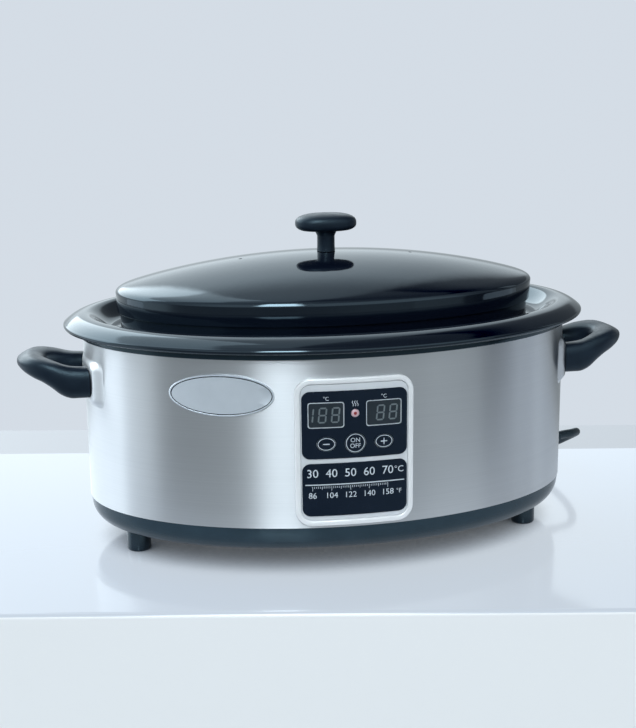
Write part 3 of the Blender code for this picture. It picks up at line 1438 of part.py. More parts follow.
def least_gap(points):
    """Least clear distance between parts of a tube that lie more than half a turn apart."""
    least = math.inf
    for index, first in enumerate(points):
        for second in points[index + COIL_STEPS_PER_TURN // 2:]:
            least = min(least, (second - first).length)
    return least - 2 * CORD_RADIUS


def make_tie():
    """A flat strap round the coil's turns, which the coil stands on."""
    middle = (coil_radius(TIE_TURN) + coil_radius(TIE_TURN + 1)) / 2
    spread = COIL_PITCH / 2 + CORD_RADIUS + TIE_SIDE_CLEARANCE
    half_height = COIL_PITCH / 2 + CORD_RADIUS + TIE_CLEARANCE
    outer = rounded_box(spread + TIE_SHEET, half_height + TIE_SHEET, CORD_RADIUS / 2)
    inner = rounded_box(spread, half_height, CORD_RADIUS / 2 - TIE_SHEET)
    mesh = flat_mesh("cord_tie", [outer, inner], TIE_WIDTH)
    upright = Matrix(((1, 0, 0, 0), (0, 0, -1, 0), (0, 1, 0, 0), (0, 0, 0, 1)))
    lift = Matrix.Translation((middle, 0, half_height + TIE_SHEET))
    turn = Matrix.Rotation(COIL_START + 2 * math.pi * TIE_TURN, 4, "Z")
    mesh.transform(Matrix.Translation((COIL_CENTRE_X, COIL_CENTRE_Y, 0)) @ turn @ lift @ upright)
    place("cord_tie", mesh, "cord_rubber")


def make_plug(cord_end, along):
    """A moulded plug that lies on the table, with two flat blades one above the other and an earth pin."""
    turn = along.to_track_quat("X", "Z").to_matrix().to_4x4()
    frame = Matrix.Translation(cord_end + along * GAP) @ turn
    shape = bmesh.new()
    bmesh.ops.create_cube(shape, size=2)
    start = PLUG_NECK_LENGTH
    end = PLUG_NECK_LENGTH + PLUG_LENGTH
    for vert in shape.verts:
        front = vert.co.x > 0
        width = PLUG_WIDTH / 2 if front else PLUG_WIDTH / 2 * PLUG_TAPER_SHARE
        vert.co = (end if front else start, vert.co.y * width, vert.co.z * PLUG_CENTRE_Z)
    mesh = finish_shape("plug_body", shape)
    mesh.transform(frame)
    plug = place("plug_body", mesh, "cord_rubber")
    bevel(plug, PLUG_EDGE, 3)
    neck = rod_mesh("plug_neck", (0, 0, 0), (start + PLUG_EDGE, 0, 0), CORD_RADIUS + GAP, PLUG_NECK_RADIUS)
    neck.transform(frame)
    combine(plug, cutter("plug_neck", neck), "UNION")
    for level, name in ((1, "upper"), (-1, "lower")):
        z = level * BLADE_SPACING / 2
        low = Vector((end - PIN_SINK, -BLADE_WIDTH / 2, z - BLADE_SHEET / 2))
        high = Vector((end + BLADE_LENGTH, BLADE_WIDTH / 2, z + BLADE_SHEET / 2))
        blade = box_mesh(f"plug_blade_{name}", low, high)
        socket = box_mesh(
            f"cut_blade_{name}",
            low - Vector((GAP, GAP, GAP)),
            high + Vector((GAP, GAP, GAP)),
        )
        blade.transform(frame)
        socket.transform(frame)
        place(f"plug_blade_{name}", blade, "brass")
        cut(plug, cutter(f"cut_blade_{name}", socket))
    shift = EARTH_PIN_OFFSET / 2
    root = Vector((end - PIN_SINK, -shift - BLADE_WIDTH / 2, 0))
    tip = Vector((end + EARTH_PIN_LENGTH, -shift - BLADE_WIDTH / 2, 0))
    pin = rod_mesh("plug_earth_pin", root, tip, EARTH_PIN_RADIUS, segments=SMALL_ROUND_SEGMENTS)
    hole = rod_mesh("cut_earth_pin", root - Vector((GAP, 0, 0)), tip, EARTH_PIN_RADIUS + GAP,
                    segments=SMALL_ROUND_SEGMENTS)
    pin.transform(frame)
    hole.transform(frame)
    place("plug_earth_pin", pin, "brass")
    cut(plug, cutter("cut_earth_pin", hole))


def build():
    make_wall()
    make_tray()
    make_feet()
    make_collar()
    make_well()
    make_stud()
    make_heating()
    make_pan()
    make_lid()
    make_knob()
    for side in (-1, 1):
        make_handle(side)
    make_panel()
    make_controls()
    make_power_parts()
    make_badge()
    wall, across = make_strain_relief()
    make_cord(wall, across)


build()
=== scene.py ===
import json
import math

import bmesh
import bpy
from mathutils import Matrix, Vector


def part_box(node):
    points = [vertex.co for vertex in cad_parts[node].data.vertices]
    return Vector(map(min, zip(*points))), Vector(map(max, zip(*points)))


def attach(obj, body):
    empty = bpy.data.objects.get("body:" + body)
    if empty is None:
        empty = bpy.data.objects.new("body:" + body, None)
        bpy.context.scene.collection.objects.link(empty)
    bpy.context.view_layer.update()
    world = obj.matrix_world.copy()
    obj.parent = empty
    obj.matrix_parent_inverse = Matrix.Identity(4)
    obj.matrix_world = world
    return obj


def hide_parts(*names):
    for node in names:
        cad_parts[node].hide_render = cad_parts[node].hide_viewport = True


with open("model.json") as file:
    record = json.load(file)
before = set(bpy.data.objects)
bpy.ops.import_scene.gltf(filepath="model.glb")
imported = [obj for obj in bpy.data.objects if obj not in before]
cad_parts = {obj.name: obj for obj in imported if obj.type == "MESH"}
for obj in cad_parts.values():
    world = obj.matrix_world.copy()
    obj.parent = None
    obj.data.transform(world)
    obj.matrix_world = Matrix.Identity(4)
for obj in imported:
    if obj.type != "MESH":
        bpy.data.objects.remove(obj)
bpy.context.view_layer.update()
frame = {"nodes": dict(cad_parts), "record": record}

# The fixed frame: the body is an oval about Z, and the controls face -Y. LOW and HIGH are a box's corners
LOW = 0
HIGH = 1
GAP = 0.0003
HALF_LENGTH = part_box("shell_band")[HIGH].x
HALF_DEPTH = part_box("shell_band")[HIGH].y
OVAL_STEPS = 192
SMOOTH_ANGLE = math.radians(38)
WRAP_STEP = 0.0025
WELD = 0.000002
WRAP_WELD = 0.000001
SLICE_TOLERANCE = 0.0000005
FLOOR_SHARES = (0.8, 0.55, 0.3, 0.12)

# Camera, as found from the oval rims in the photograph
CAMERA_PLACE = (-0.17992, -1.04879, 0.40150)
CAMERA_TARGET = (-0.00710, 0.00122, 0.13170)
CAMERA_ROLL = -0.0113
FOCAL_PIXELS = 1381.95
FRAME_HEIGHT_PIXELS = 728
SENSOR_WIDTH = 36.0
CAMERA_REACH = (0.05, 50)


def curve_value(before, first, second, after, t):
    """A Catmull-Rom curve's value at a share of the way from the first of two points to the second."""
    return 0.5 * (2 * first + (second - before) * t + (2 * before - 5 * first + 4 * second - after) * t ** 2
                  + (3 * first - before - 3 * second + after) * t ** 3)


def sample_profile(points, steps):
    """Points along a curve through the given ones, with so many steps between each two."""
    padded = [points[0]] + list(points) + [points[-1]]
    line = []
    for index in range(1, len(padded) - 2):
        corners = [Vector(point) for point in padded[index - 1:index + 3]]
        for step in range(steps):
            line.append(curve_value(*corners, step / steps))
    line.append(Vector(points[-1]))
    return line


def smooth_step(share):
    share = max(0.0, min(1.0, share))
    return share * share * (3 - 2 * share)


def full_power(value, power):
    """A cosine or sine drawn out to a fuller curve."""
    return math.copysign(abs(value) ** (2 / power), value)


def arc(centre, radius, start, end, steps):
    """Points on an arc in a profile, between two angles in degrees."""
    points = []
    for step in range(steps + 1):
        angle = math.radians(start + (end - start) * step / steps)
        points.append((centre[0] + radius * math.cos(angle), centre[1] + radius * math.sin(angle)))
    return points


# Meshes

def mesh_from(points, faces):
    mesh = bpy.data.meshes.new("mesh")
    mesh.from_pydata([tuple(point) for point in points], [], faces)
    mesh.validate()
    shape = bmesh.new()
    shape.from_mesh(mesh)
    bmesh.ops.remove_doubles(shape, verts=shape.verts, dist=WELD)
    bmesh.ops.recalc_face_normals(shape, faces=shape.faces)
    shape.to_mesh(mesh)
    shape.free()
    return mesh


def loft(rows, closed=False, start_cap=None, end_cap=None):
    """Skin rows of points. A cap is a point that a fan of faces closes the end to, or "flat"."""
    points = [point for row in rows for point in row]
    count = len(rows[0])
    faces = []
    pairs = len(rows) if closed else len(rows) - 1
    for row in range(pairs):
        first = row * count
        second = (row + 1) % len(rows) * count
        for index in range(count):
            following = (index + 1) % count
            faces.append((first + index, first + following, second + following, second + index))
    for cap, first in ((start_cap, 0), (end_cap, (len(rows) - 1) * count)):
        if cap == "flat":
            faces.append(tuple(first + index for index in range(count)))
        elif cap is not None:
            points.append(cap)
            for index in range(count):
                faces.append((first + index, first + (index + 1) % count, len(points) - 1))
    return mesh_from(points, faces)


def block(rows):
    """Skin rows of points into a solid with two flat ends."""
    return loft(rows, start_cap="flat", end_cap="flat")


def oval_row(half_length, half_depth, height, power=2.0, steps=OVAL_STEPS):
    row = []
    for index in range(steps):
        angle = 2 * math.pi * index / steps
        row.append((
            half_length * full_power(math.cos(angle), power),
            half_depth * full_power(math.sin(angle), power),
            height,
        ))
    return row


def body_rings(profile):
    """Turn a profile of (offset from the body's outline, height) into (half length, half depth, height)."""
    return [(HALF_LENGTH + offset, HALF_DEPTH + offset, height) for offset, height in profile]


def closed_ring(profile):
    """A solid hoop: a closed profile of (offset, height) carried round the body's oval."""
    return loft([oval_row(*ring) for ring in body_rings(profile)], closed=True)


def offset_rings(rings, thickness):
    """The rings moved square to their own profile, which gives the other side of a sheet."""
    moved = []
    for index, ring in enumerate(rings):
        before = rings[max(index - 1, 0)]
        after = rings[min(index + 1, len(rings) - 1)]
        along = Vector((after[0] - before[0], after[2] - before[2])).normalized()
        across = Vector((-along.y, along.x)) * thickness
        moved.append((ring[0] + across.x, ring[1] + across.x, ring[2] + across.y))
    return moved


def dish(rings, thickness):
    """A sheet of the given thickness whose profile runs from its edge in to its middle."""
    other = offset_rings(rings, thickness)
    middle = (0, 0, rings[-1][2])
    other_middle = (0, 0, other[-1][2])
    rows = [oval_row(*ring) for ring in rings[::-1] + other]
    return loft(rows, start_cap=middle, end_cap=other_middle)


def bowl(profile, thickness):
    """A sheet bowl. Its profile of (offset, height) runs from the brim to the flat floor's edge."""
    rings = body_rings(profile)
    half_length, half_depth, height = rings[-1]
    for share in FLOOR_SHARES:
        rings.append((half_length * share, half_depth * share, height))
    return dish(rings, thickness)


def turned(profile, steps):
    """Turn a closed profile of (radius, height) about Z. A zero radius at an end closes it there."""
    inner = [point for point in profile if point[0] > 0]
    rows = [oval_row(radius, radius, height, steps=steps) for radius, height in inner]
    if profile[0][0] == 0:
        return loft(rows, start_cap=(0, 0, profile[0][1]), end_cap=(0, 0, profile[-1][1]))
    return loft(rows, closed=True)


def evaluated_mesh(item):
    """Take an object's evaluated mesh, with its place applied, and remove the object."""
    bpy.context.view_layer.update()
    graph = bpy.context.evaluated_depsgraph_get()
    mesh = bpy.data.meshes.new_from_object(item.evaluated_get(graph))
    mesh.transform(item.matrix_world)
    bpy.data.objects.remove(item, do_unlink=True)
    return mesh


def link(name, data):
    item = bpy.data.objects.new(name, data)
    bpy.context.scene.collection.objects.link(item)
    return item


def smooth(mesh, angle=SMOOTH_ANGLE):
    mesh.shade_smooth()
    mesh.set_sharp_from_angle(angle=angle)


def add_line(curve, points, closed=False):
    """Add a line through points to a curve."""
    line = curve.splines.new("POLY")
    line.points.add(len(points) - 1)
    line.use_cyclic_u = closed
    for corner, point in zip(line.points, points):
        corner.co = (*point.to_3d(), 1)


def flat_mesh(outlines, thickness, edge=0.0):
    """A flat plate in the XY plane from z = 0 up, with rounded edges. Inner outlines are holes."""
    curve = bpy.data.curves.new("flat", "CURVE")
    curve.dimensions = "2D"
    curve.fill_mode = "BOTH"
    curve.extrude = thickness / 2 - edge
    curve.bevel_depth = edge
    curve.bevel_resolution = 2
    curve.offset = -edge
    for outline in outlines:
        add_line(curve, outline, closed=True)
    mesh = evaluated_mesh(link("flat", curve))
    mesh.transform(Matrix.Translation((0, 0, thickness / 2)))
    return mesh


def text_mesh(text, size, centre):
    """Printed characters as a thin flat mesh, centred on a place."""
    curve = bpy.data.curves.new("text", "FONT")
    curve.body = text
    curve.size = size
    curve.align_x = "CENTER"
    curve.align_y = "CENTER"
    curve.extrude = INK / 2
    curve.resolution_u = 3
    mesh = evaluated_mesh(link("text", curve))
    mesh.transform(Matrix.Translation((*centre, INK / 2)))
    return mesh


def join_meshes(meshes):
    shape = bmesh.new()
    for mesh in meshes:
        shape.from_mesh(mesh)
    joined = bpy.data.meshes.new("joined")
    shape.to_mesh(joined)
    shape.free()
    return joined


def rounded_box(half_width, half_height, corner, centre=(0, 0), steps=8, side_steps=1):
    """A rounded rectangle. Its straight sides can be cut into steps too, so that they can bend."""
    corners = []
    for quarter, (side, level) in enumerate(((1, 1), (-1, 1), (-1, -1), (1, -1))):
        for step in range(steps + 1):
            angle = math.pi / 2 * (quarter + step / steps)
            x = centre[0] + side * (half_width - corner) + corner * math.cos(angle)
            y = centre[1] + level * (half_height - corner) + corner * math.sin(angle)
            corners.append(Vector((x, y)))
    points = []
    for index, point in enumerate(corners):
        points.append(point)
        if (index + 1) % (steps + 1) == 0:
            following = corners[(index + 1) % len(corners)]
            points += [point.lerp(following, step / side_steps) for step in range(1, side_steps)]
    return points


def oval_outline(half_width, half_height, centre=(0, 0), count=64):
    points = []
    for index in range(count):
        angle = 2 * math.pi * index / count
        x = centre[0] + half_width * math.cos(angle)
        y = centre[1] + half_height * math.sin(angle)
        points.append(Vector((x, y)))
    return points


def circle(radius, centre=(0, 0), count=64):
    return oval_outline(radius, radius, centre, count)


def row_at(outline, height):
    """An outline's points as a level row for a loft."""
    return [(point[0], point[1], height) for point in outline]


def front_y(x, lift):
    """Y of a surface that stands a lift in front of the body's wall, at a place along X."""
    return -(HALF_DEPTH + lift) * math.sqrt(1 - (x / (HALF_LENGTH + lift)) ** 2)


def wrap(mesh, lift, sliced=True):
    """Lay a mesh drawn in front view, as (x, z, depth), on the front of the body at a lift."""
    xs = [vert.co.x for vert in mesh.vertices]
    low = min(xs)
    high = max(xs)
    count = max(1, math.ceil((high - low) / WRAP_STEP))
    shape = bmesh.new()
    shape.from_mesh(mesh)
    for index in range(1, count if sliced else 1):
        bmesh.ops.bisect_plane(
            shape,
            geom=shape.verts[:] + shape.edges[:] + shape.faces[:],
            dist=SLICE_TOLERANCE,
            plane_co=(low + (high - low) * index / count, 0, 0),
            plane_no=(1, 0, 0),
        )
    bmesh.ops.remove_doubles(shape, verts=shape.verts, dist=WRAP_WELD)
    for vert in shape.verts:
        x, z, depth = vert.co
        vert.co = (x, front_y(x, lift + depth), z)
    bmesh.ops.recalc_face_normals(shape, faces=shape.faces)
    shape.to_mesh(mesh)
    shape.free()
    return mesh


# Finishes. Each is one Principled material whose colour, gloss and relief come from procedural noise

PATTERN_SPREAD = (0.3, 0.7)
SPECK_SPREAD = (0.45, 0.80)


def nodes_of(finish):
    return finish.node_tree.nodes


def join(finish, output, target):
    finish.node_tree.links.new(output, target)


def feed(finish, output, socket):
    """Join an output to a socket of the surface's own shader."""
    join(finish, output, nodes_of(finish)["Principled BSDF"].inputs[socket])


def principled(name, roughness, metallic=0.0, **sockets):
    finish = bpy.data.materials.new(name)
    finish.use_nodes = True
    shader = nodes_of(finish)["Principled BSDF"]
    shader.inputs["Roughness"].default_value = roughness
    shader.inputs["Metallic"].default_value = metallic
    for socket, value in sockets.items():
        shader.inputs[socket.replace("_", " ")].default_value = value
    return finish


def pattern(finish, scale, detail, roughness=0.5, stretch=(1, 1, 1)):
    """Noise in the object's own space, stretched by an amount along each axis."""
    place = nodes_of(finish).new("ShaderNodeTexCoord")
    mapping = nodes_of(finish).new("ShaderNodeMapping")
    mapping.inputs["Scale"].default_value = stretch
    noise = nodes_of(finish).new("ShaderNodeTexNoise")
    noise.inputs["Scale"].default_value = scale
    noise.inputs["Detail"].default_value = detail
    noise.inputs["Roughness"].default_value = roughness
    join(finish, place.outputs["Object"], mapping.inputs["Vector"])
    join(finish, mapping.outputs["Vector"], noise.inputs["Vector"])
    return noise.outputs["Fac"]


def spread(finish, source, low, high, span=PATTERN_SPREAD):
    """Map a pattern's span to a low and a high value, clamped."""
    node = nodes_of(finish).new("ShaderNodeMapRange")
    node.inputs["From Min"].default_value, node.inputs["From Max"].default_value = span
    node.inputs["To Min"].default_value = low
    node.inputs["To Max"].default_value = high
    join(finish, source, node.inputs["Value"])
    return node.outputs["Result"]


def tint(finish, source, low, high, span=PATTERN_SPREAD):
    """Colour the surface between two colours by a pattern."""
    mix = nodes_of(finish).new("ShaderNodeMix")
    mix.data_type = "RGBA"
    first, second = (socket for socket in mix.inputs if socket.type == "RGBA")
    first.default_value = (*low, 1)
    second.default_value = (*high, 1)
    join(finish, spread(finish, source, 0, 1, span), mix.inputs["Factor"])
    colour = [socket for socket in mix.outputs if socket.type == "RGBA"][0]
    feed(finish, colour, "Base Color")


def gloss(finish, source, low, high):
    """Vary the surface's roughness between two values by a pattern."""
    feed(finish, spread(finish, source, low, high), "Roughness")


def relief(finish, source, height):
    """Raise the surface by a pattern, to a height in metres."""
    node = nodes_of(finish).new("ShaderNodeBump")
    node.inputs["Strength"].default_value = 1
    node.inputs["Distance"].default_value = height
    join(finish, source, node.inputs["Height"])
    feed(finish, node.outputs["Normal"], "Normal")


# Each grain: the noise behind its colour, its gloss and its relief, and how far its roughness swings
GRAINS = {
    "brushed": ((1, 4, 0.6, (7, 7, 1900)), (1, 3, 0.5, (5, 5, 600)), (1, 2, 0.5, (10, 10, 2600)),
                (-0.01, 0.01)),
    "moulded": ((60, 4), (140, 3), (2600, 2), (-0.05, 0.07)),
    "metal": ((90, 4), (210, 3), (700, 3), (-0.02, 0.03)),
    "enamel": ((1500, 1), (45, 2), (110, 1), (-0.015, 0.025)),
}


def grained(kind, name, low, high, roughness, height, metallic=0.0, span=PATTERN_SPREAD, **sockets):
    """A finish with a grain: a colour between low and high, a roughness that swings, and a relief."""
    finish = principled(name, roughness, metallic, **sockets)
    colour, shine, rise, (least, most) = GRAINS[kind]
    tint(finish, pattern(finish, *colour), low, high, span)
    gloss(finish, pattern(finish, *shine), roughness + least, roughness + most)
    relief(finish, pattern(finish, *rise), height)
    return finish


def brushed(name, low, high, roughness, height):
    """Sheet metal brushed along the oval, whose reflections blur up and down."""
    finish = grained("brushed", name, low, high, roughness, height, 1.0,
                     Anisotropic=0.97, Anisotropic_Rotation=0.25)
    tangent = nodes_of(finish).new("ShaderNodeTangent")
    tangent.direction_type = "RADIAL"
    tangent.axis = "Z"
    feed(finish, tangent.outputs["Tangent"], "Tangent")
    return finish


def moulded(name, low, high, roughness, height=0.00004, **sockets):
    """Moulded plastic or rubber with a fine spark-eroded grain and faint cloudiness."""
    return grained("moulded", name, low, high, roughness, height, **sockets)


def metal(name, low, high, roughness, height=0.00002, metallic=1.0):
    """Plain metal with rolled or plated unevenness."""
    return grained("metal", name, low, high, roughness, height, metallic)


DARK_GLOSS = (0.62, 0.88, 1.0, 1)
ENAMEL_GLOSS = (0.66, 0.88, 1.0, 1)

FINISHES = {
    "steel": brushed("brushed_steel", (0.610, 0.625, 0.645), (0.645, 0.660, 0.680), 0.32, 0.0000008),
    "enamel": grained("enamel", "black_enamel", (0.0016, 0.0028, 0.0075), (0.0040, 0.0065, 0.0130), 0.06,
                      0.00003, span=SPECK_SPREAD, IOR=1.64, Specular_Tint=ENAMEL_GLOSS),
    "phenolic": moulded("phenolic", (0.0036, 0.0062, 0.0130), (0.0060, 0.0105, 0.0200), 0.36, 0.00003,
                        Specular_Tint=DARK_GLOSS, IOR=1.42),
    "dark_plastic": moulded("base_plastic", (0.0080, 0.0170, 0.0260), (0.0120, 0.0230, 0.0340), 0.17,
                            0.00001, Specular_Tint=DARK_GLOSS),
    "foot_plastic": moulded("foot_plastic", (0.0030, 0.0060, 0.0110), (0.0060, 0.0100, 0.0170), 0.14,
                            0.00001, Specular_Tint=DARK_GLOSS),
    "aluminium": metal("rolled_aluminium", (0.66, 0.67, 0.68), (0.76, 0.77, 0.78), 0.38),
    "zinc": metal("zinc_plate", (0.50, 0.51, 0.54), (0.64, 0.65, 0.68), 0.32),
    "brass": metal("brass_pin", (0.72, 0.54, 0.24), (0.82, 0.64, 0.32), 0.24),
    "bezel_silver": metal("silver_bezel", (0.87, 0.87, 0.88), (0.91, 0.91, 0.92), 0.34, 0.000002, 0.25),
    "overlay_black": moulded("overlay_film", (0.0030, 0.0060, 0.0150), (0.0050, 0.0085, 0.0190), 0.12,
                             0.000001, Specular_Tint=DARK_GLOSS, IOR=1.46),
    "window_smoke": moulded("smoked_window", (0.014, 0.021, 0.028), (0.020, 0.028, 0.036), 0.07, 0.000002),
    "lens_red": moulded("led_lens", (0.20, 0.015, 0.018), (0.30, 0.03, 0.03), 0.10, 0.000002),
    "board_green": moulded("circuit_board", (0.012, 0.11, 0.045), (0.02, 0.15, 0.06), 0.34, 0.00002),
    "component_black": moulded("component_black", (0.010, 0.010, 0.011), (0.018, 0.018, 0.019), 0.42),
    "mica": moulded("mica_band", (0.44, 0.37, 0.25), (0.60, 0.53, 0.40), 0.52, 0.00006),
    "cord_rubber": moulded("cord_rubber", (0.0060, 0.0100, 0.0150), (0.0100, 0.0150, 0.0210), 0.42, 0.00003,
                           Specular_Tint=DARK_GLOSS),
}


def piece(name, mesh, slot, *replaced, body="housing", finish=None, angle=SMOOTH_ANGLE):
    """Put a mesh in the scene in a finish, on a body, in place of the CAD nodes that it stands for."""
    mesh.name = name
    item = link(name, mesh)
    smooth(mesh, angle)
    mesh.materials.clear()
    mesh.materials.append(finish or FINISHES[slot])
    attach(item, body)
    if replaced:
        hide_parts(*replaced)
    return item


# Camera

def make_camera():
    camera = bpy.data.cameras.new("camera")
    camera.sensor_width = SENSOR_WIDTH
    camera.lens = FOCAL_PIXELS * SENSOR_WIDTH / FRAME_HEIGHT_PIXELS
    camera.clip_start, camera.clip_end = CAMERA_REACH
    item = link("camera", camera)
    place = Vector(CAMERA_PLACE)
    aim = (Vector(CAMERA_TARGET) - place).to_track_quat("-Z", "Y").to_matrix().to_4x4()
    item.matrix_world = Matrix.Translation(place) @ aim @ Matrix.Rotation(CAMERA_ROLL, 4, "Z")
    bpy.context.scene.camera = item


make_camera()

# Mains lead: the route of its free stretch as listed points, then loops that spiral in and out again
CORD_RADIUS = 0.0036
CORD_ANGLE = math.radians(15)
CORD_HEIGHT = 0.0470
RELIEF_LENGTH = 0.0270
CORD_ROUTE = (
    (0.2225, 0.0472, 0.0465),
    (0.2295, 0.0552, 0.0448),
    (0.2326, 0.0670, 0.0402),
    (0.2310, 0.0795, 0.0335),
    (0.2247, 0.0920, 0.0252),
    (0.2150, 0.1060, 0.0166),
    (0.2030, 0.1225, 0.0098),
    (0.1890, 0.1420, 0.0060),
    (0.1740, 0.1620, 0.0044),
    (0.1590, 0.1805, 0.0041),
    (0.1450, 0.1970, 0.0043),
)
COIL_CENTRE = (0.0850, 0.1920)
COIL_MEAN_RADIUS = 0.0396
COIL_PITCH = 0.0079
COIL_TURNS = 4.25
COIL_START = math.radians(39)
COIL_BOTTOM_Z = 0.0048
COIL_TAIL = 0.0420
COIL_TAIL_STEPS = 4
COIL_STEPS_PER_TURN = 48


def coil_points():
    half = COIL_TURNS / 2
    steps = round(COIL_TURNS * COIL_STEPS_PER_TURN)
    points = []
    for step in range(steps + 1):
        turn = COIL_TURNS * step / steps
        radius = COIL_MEAN_RADIUS + COIL_PITCH * half / 2 - COIL_PITCH * min(turn, COIL_TURNS - turn)
        climb = smooth_step((turn - half) * 2 + 0.5)
        angle = COIL_START + 2 * math.pi * turn
        points.append(Vector((
            COIL_CENTRE[0] + radius * math.cos(angle),
            COIL_CENTRE[1] + radius * math.sin(angle),
            COIL_BOTTOM_Z + COIL_PITCH * climb,
        )))
    return points


def heading(angle):
    return Vector((-math.sin(angle), math.cos(angle), 0))


def wall_frame(angle, height):
    """A point on the body's wall and the wall's outward direction there."""
    across = Vector((math.cos(angle) / HALF_LENGTH, math.sin(angle) / HALF_DEPTH, 0)).normalized()
    return Vector((HALF_LENGTH * math.cos(angle), HALF_DEPTH * math.sin(angle), height)), across


def cord_line():
    """The lead's whole line, its exit point, and the way it points at its far end."""
    wall, across = wall_frame(CORD_ANGLE, CORD_HEIGHT)
    diameter = 2 * CORD_RADIUS
    loops = coil_points()
    lead_in = heading(COIL_START)
    coil_start = loops[0] - lead_in * diameter
    exit_point = wall + across * (RELIEF_LENGTH + GAP)
    route = [exit_point, exit_point + across * diameter]
    route += [Vector(point) for point in CORD_ROUTE]
    route += [coil_start - lead_in * diameter, coil_start]
    line = sample_profile(route, 5)
    lead_out = heading(COIL_START + 2 * math.pi * COIL_TURNS)
    tail = loops[-1] + lead_out * COIL_TAIL
    line += loops + [loops[-1].lerp(tail, step / COIL_TAIL_STEPS) for step in range(1, COIL_TAIL_STEPS + 1)]
    return line, exit_point, lead_out


# Shells of the housing

WALL_LOW_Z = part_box("shell_band")[LOW].z
WALL_TOP_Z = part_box("shell_band")[HIGH].z
WALL_SHEET = 0.0008
TRAY_LOW_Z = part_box("base_tray")[LOW].z
TRAY_TOP_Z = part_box("base_tray")[HIGH].z
TRAY_SHEET = 0.0022
TRAY_TOP_INSET = 0.0003
TRAY_BOTTOM_INSET = 0.0130
TRAY_SIDE_SHARES = ((0.00, 0.00), (0.02, 0.12), (0.05, 0.30), (0.10, 0.46), (0.18, 0.60),
                    (0.30, 0.73), (0.45, 0.85), (0.64, 0.94), (0.82, 0.985), (1.00, 1.00))
VENT_ROW_X = 0.0750
VENT_PITCH = 0.0080
VENT_COUNT = 3
VENT_WIDTH = 0.0030
VENT_CORNER = VENT_WIDTH / 2 - GAP / 10
VENT_LENGTH = 0.0280
STUD_HOLE_RADIUS = 0.0028
COLLAR_WALL = 0.0020
COLLAR_EDGE = 0.0006
COLLAR_SHOULDER_RISE = 0.0028
COLLAR_SLOPE = (0.0014, 0.0032)
COLLAR_LIP = (-0.0002, 0.0010)
COLLAR_TOP_OUTSIDE = -0.0010
COLLAR_TOP_INSIDE = -0.0032
COLLAR_INSIDE = -0.0076
COLLAR_INNER_SLOPE = 0.0070
COLLAR_GROOVE = -0.0011


def cut(mesh, cutters):
    """Cut meshes out of a mesh with an exact boolean."""
    item = link("cut", mesh)
    tools = []
    for cutter in cutters:
        tool = link("cutter", cutter)
        tools.append(tool)
        modifier = item.modifiers.new("cut", "BOOLEAN")
        modifier.operation = "DIFFERENCE"
        modifier.object = tool
    result = evaluated_mesh(item)
    for tool in tools:
        bpy.data.objects.remove(tool, do_unlink=True)
    return result


def prism(outline, low, high):
    """An upright block over an outline in the XY plane."""
    return block([row_at(outline, height) for height in (low, high)])


def make_wall():
    outer = [(0.0, WALL_LOW_Z), (0.0, WALL_TOP_Z)]
    inner = [(-WALL_SHEET, WALL_TOP_Z), (-WALL_SHEET, WALL_LOW_Z)]
    piece("wall", closed_ring(outer + inner), "steel", "shell_band")


def make_collar():
    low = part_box("top_collar")[LOW].z
    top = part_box("top_collar")[HIGH].z
    shoulder = WALL_TOP_Z + COLLAR_SHOULDER_RISE
    profile = [(GAP, low)]
    profile += arc((GAP + COLLAR_WALL - COLLAR_EDGE, low + COLLAR_EDGE), COLLAR_EDGE, -90, 0, 4)
    profile += [(GAP + COLLAR_WALL, shoulder), (COLLAR_SLOPE[0], shoulder + COLLAR_SLOPE[1])]
    profile += [(COLLAR_LIP[0], top - COLLAR_LIP[1]), (COLLAR_TOP_OUTSIDE, top), (COLLAR_TOP_INSIDE, top)]
    profile += [(COLLAR_INSIDE, top - COLLAR_INNER_SLOPE), (COLLAR_INSIDE, low), (COLLAR_GROOVE, low)]
    profile += [(COLLAR_GROOVE, WALL_TOP_Z + GAP), (GAP, WALL_TOP_Z + GAP)]
    piece("collar", closed_ring(profile), "dark_plastic", "top_collar")


def make_tray():
    profile = []
    for inset_share, drop_share in TRAY_SIDE_SHARES:
        inset = TRAY_TOP_INSET + (TRAY_BOTTOM_INSET - TRAY_TOP_INSET) * inset_share
        profile.append((-inset, TRAY_TOP_Z - (TRAY_TOP_Z - TRAY_LOW_Z) * drop_share))
    cutters = [prism(circle(STUD_HOLE_RADIUS), 0, TRAY_TOP_Z)]
    for side in (-1, 1):
        for index in range(VENT_COUNT):
            x = side * VENT_ROW_X + (index - (VENT_COUNT - 1) / 2) * VENT_PITCH
            slot = rounded_box(VENT_WIDTH / 2, VENT_LENGTH / 2, VENT_CORNER, (x, HALF_DEPTH / 2), 6)
            cutters.append(prism(slot, 0, TRAY_TOP_Z))
    tray = bowl(sample_profile(profile, 3), -TRAY_SHEET)
    piece("tray", cut(tray, cutters), "dark_plastic", "base_tray")


FOOT_EDGE = 0.0016
FOOT_TOP_EDGE = 0.0005
FOOT_RECESS_RADIUS = 0.0039
FOOT_RECESS = 0.0060
FOOT_BORE_RADIUS = 0.0024


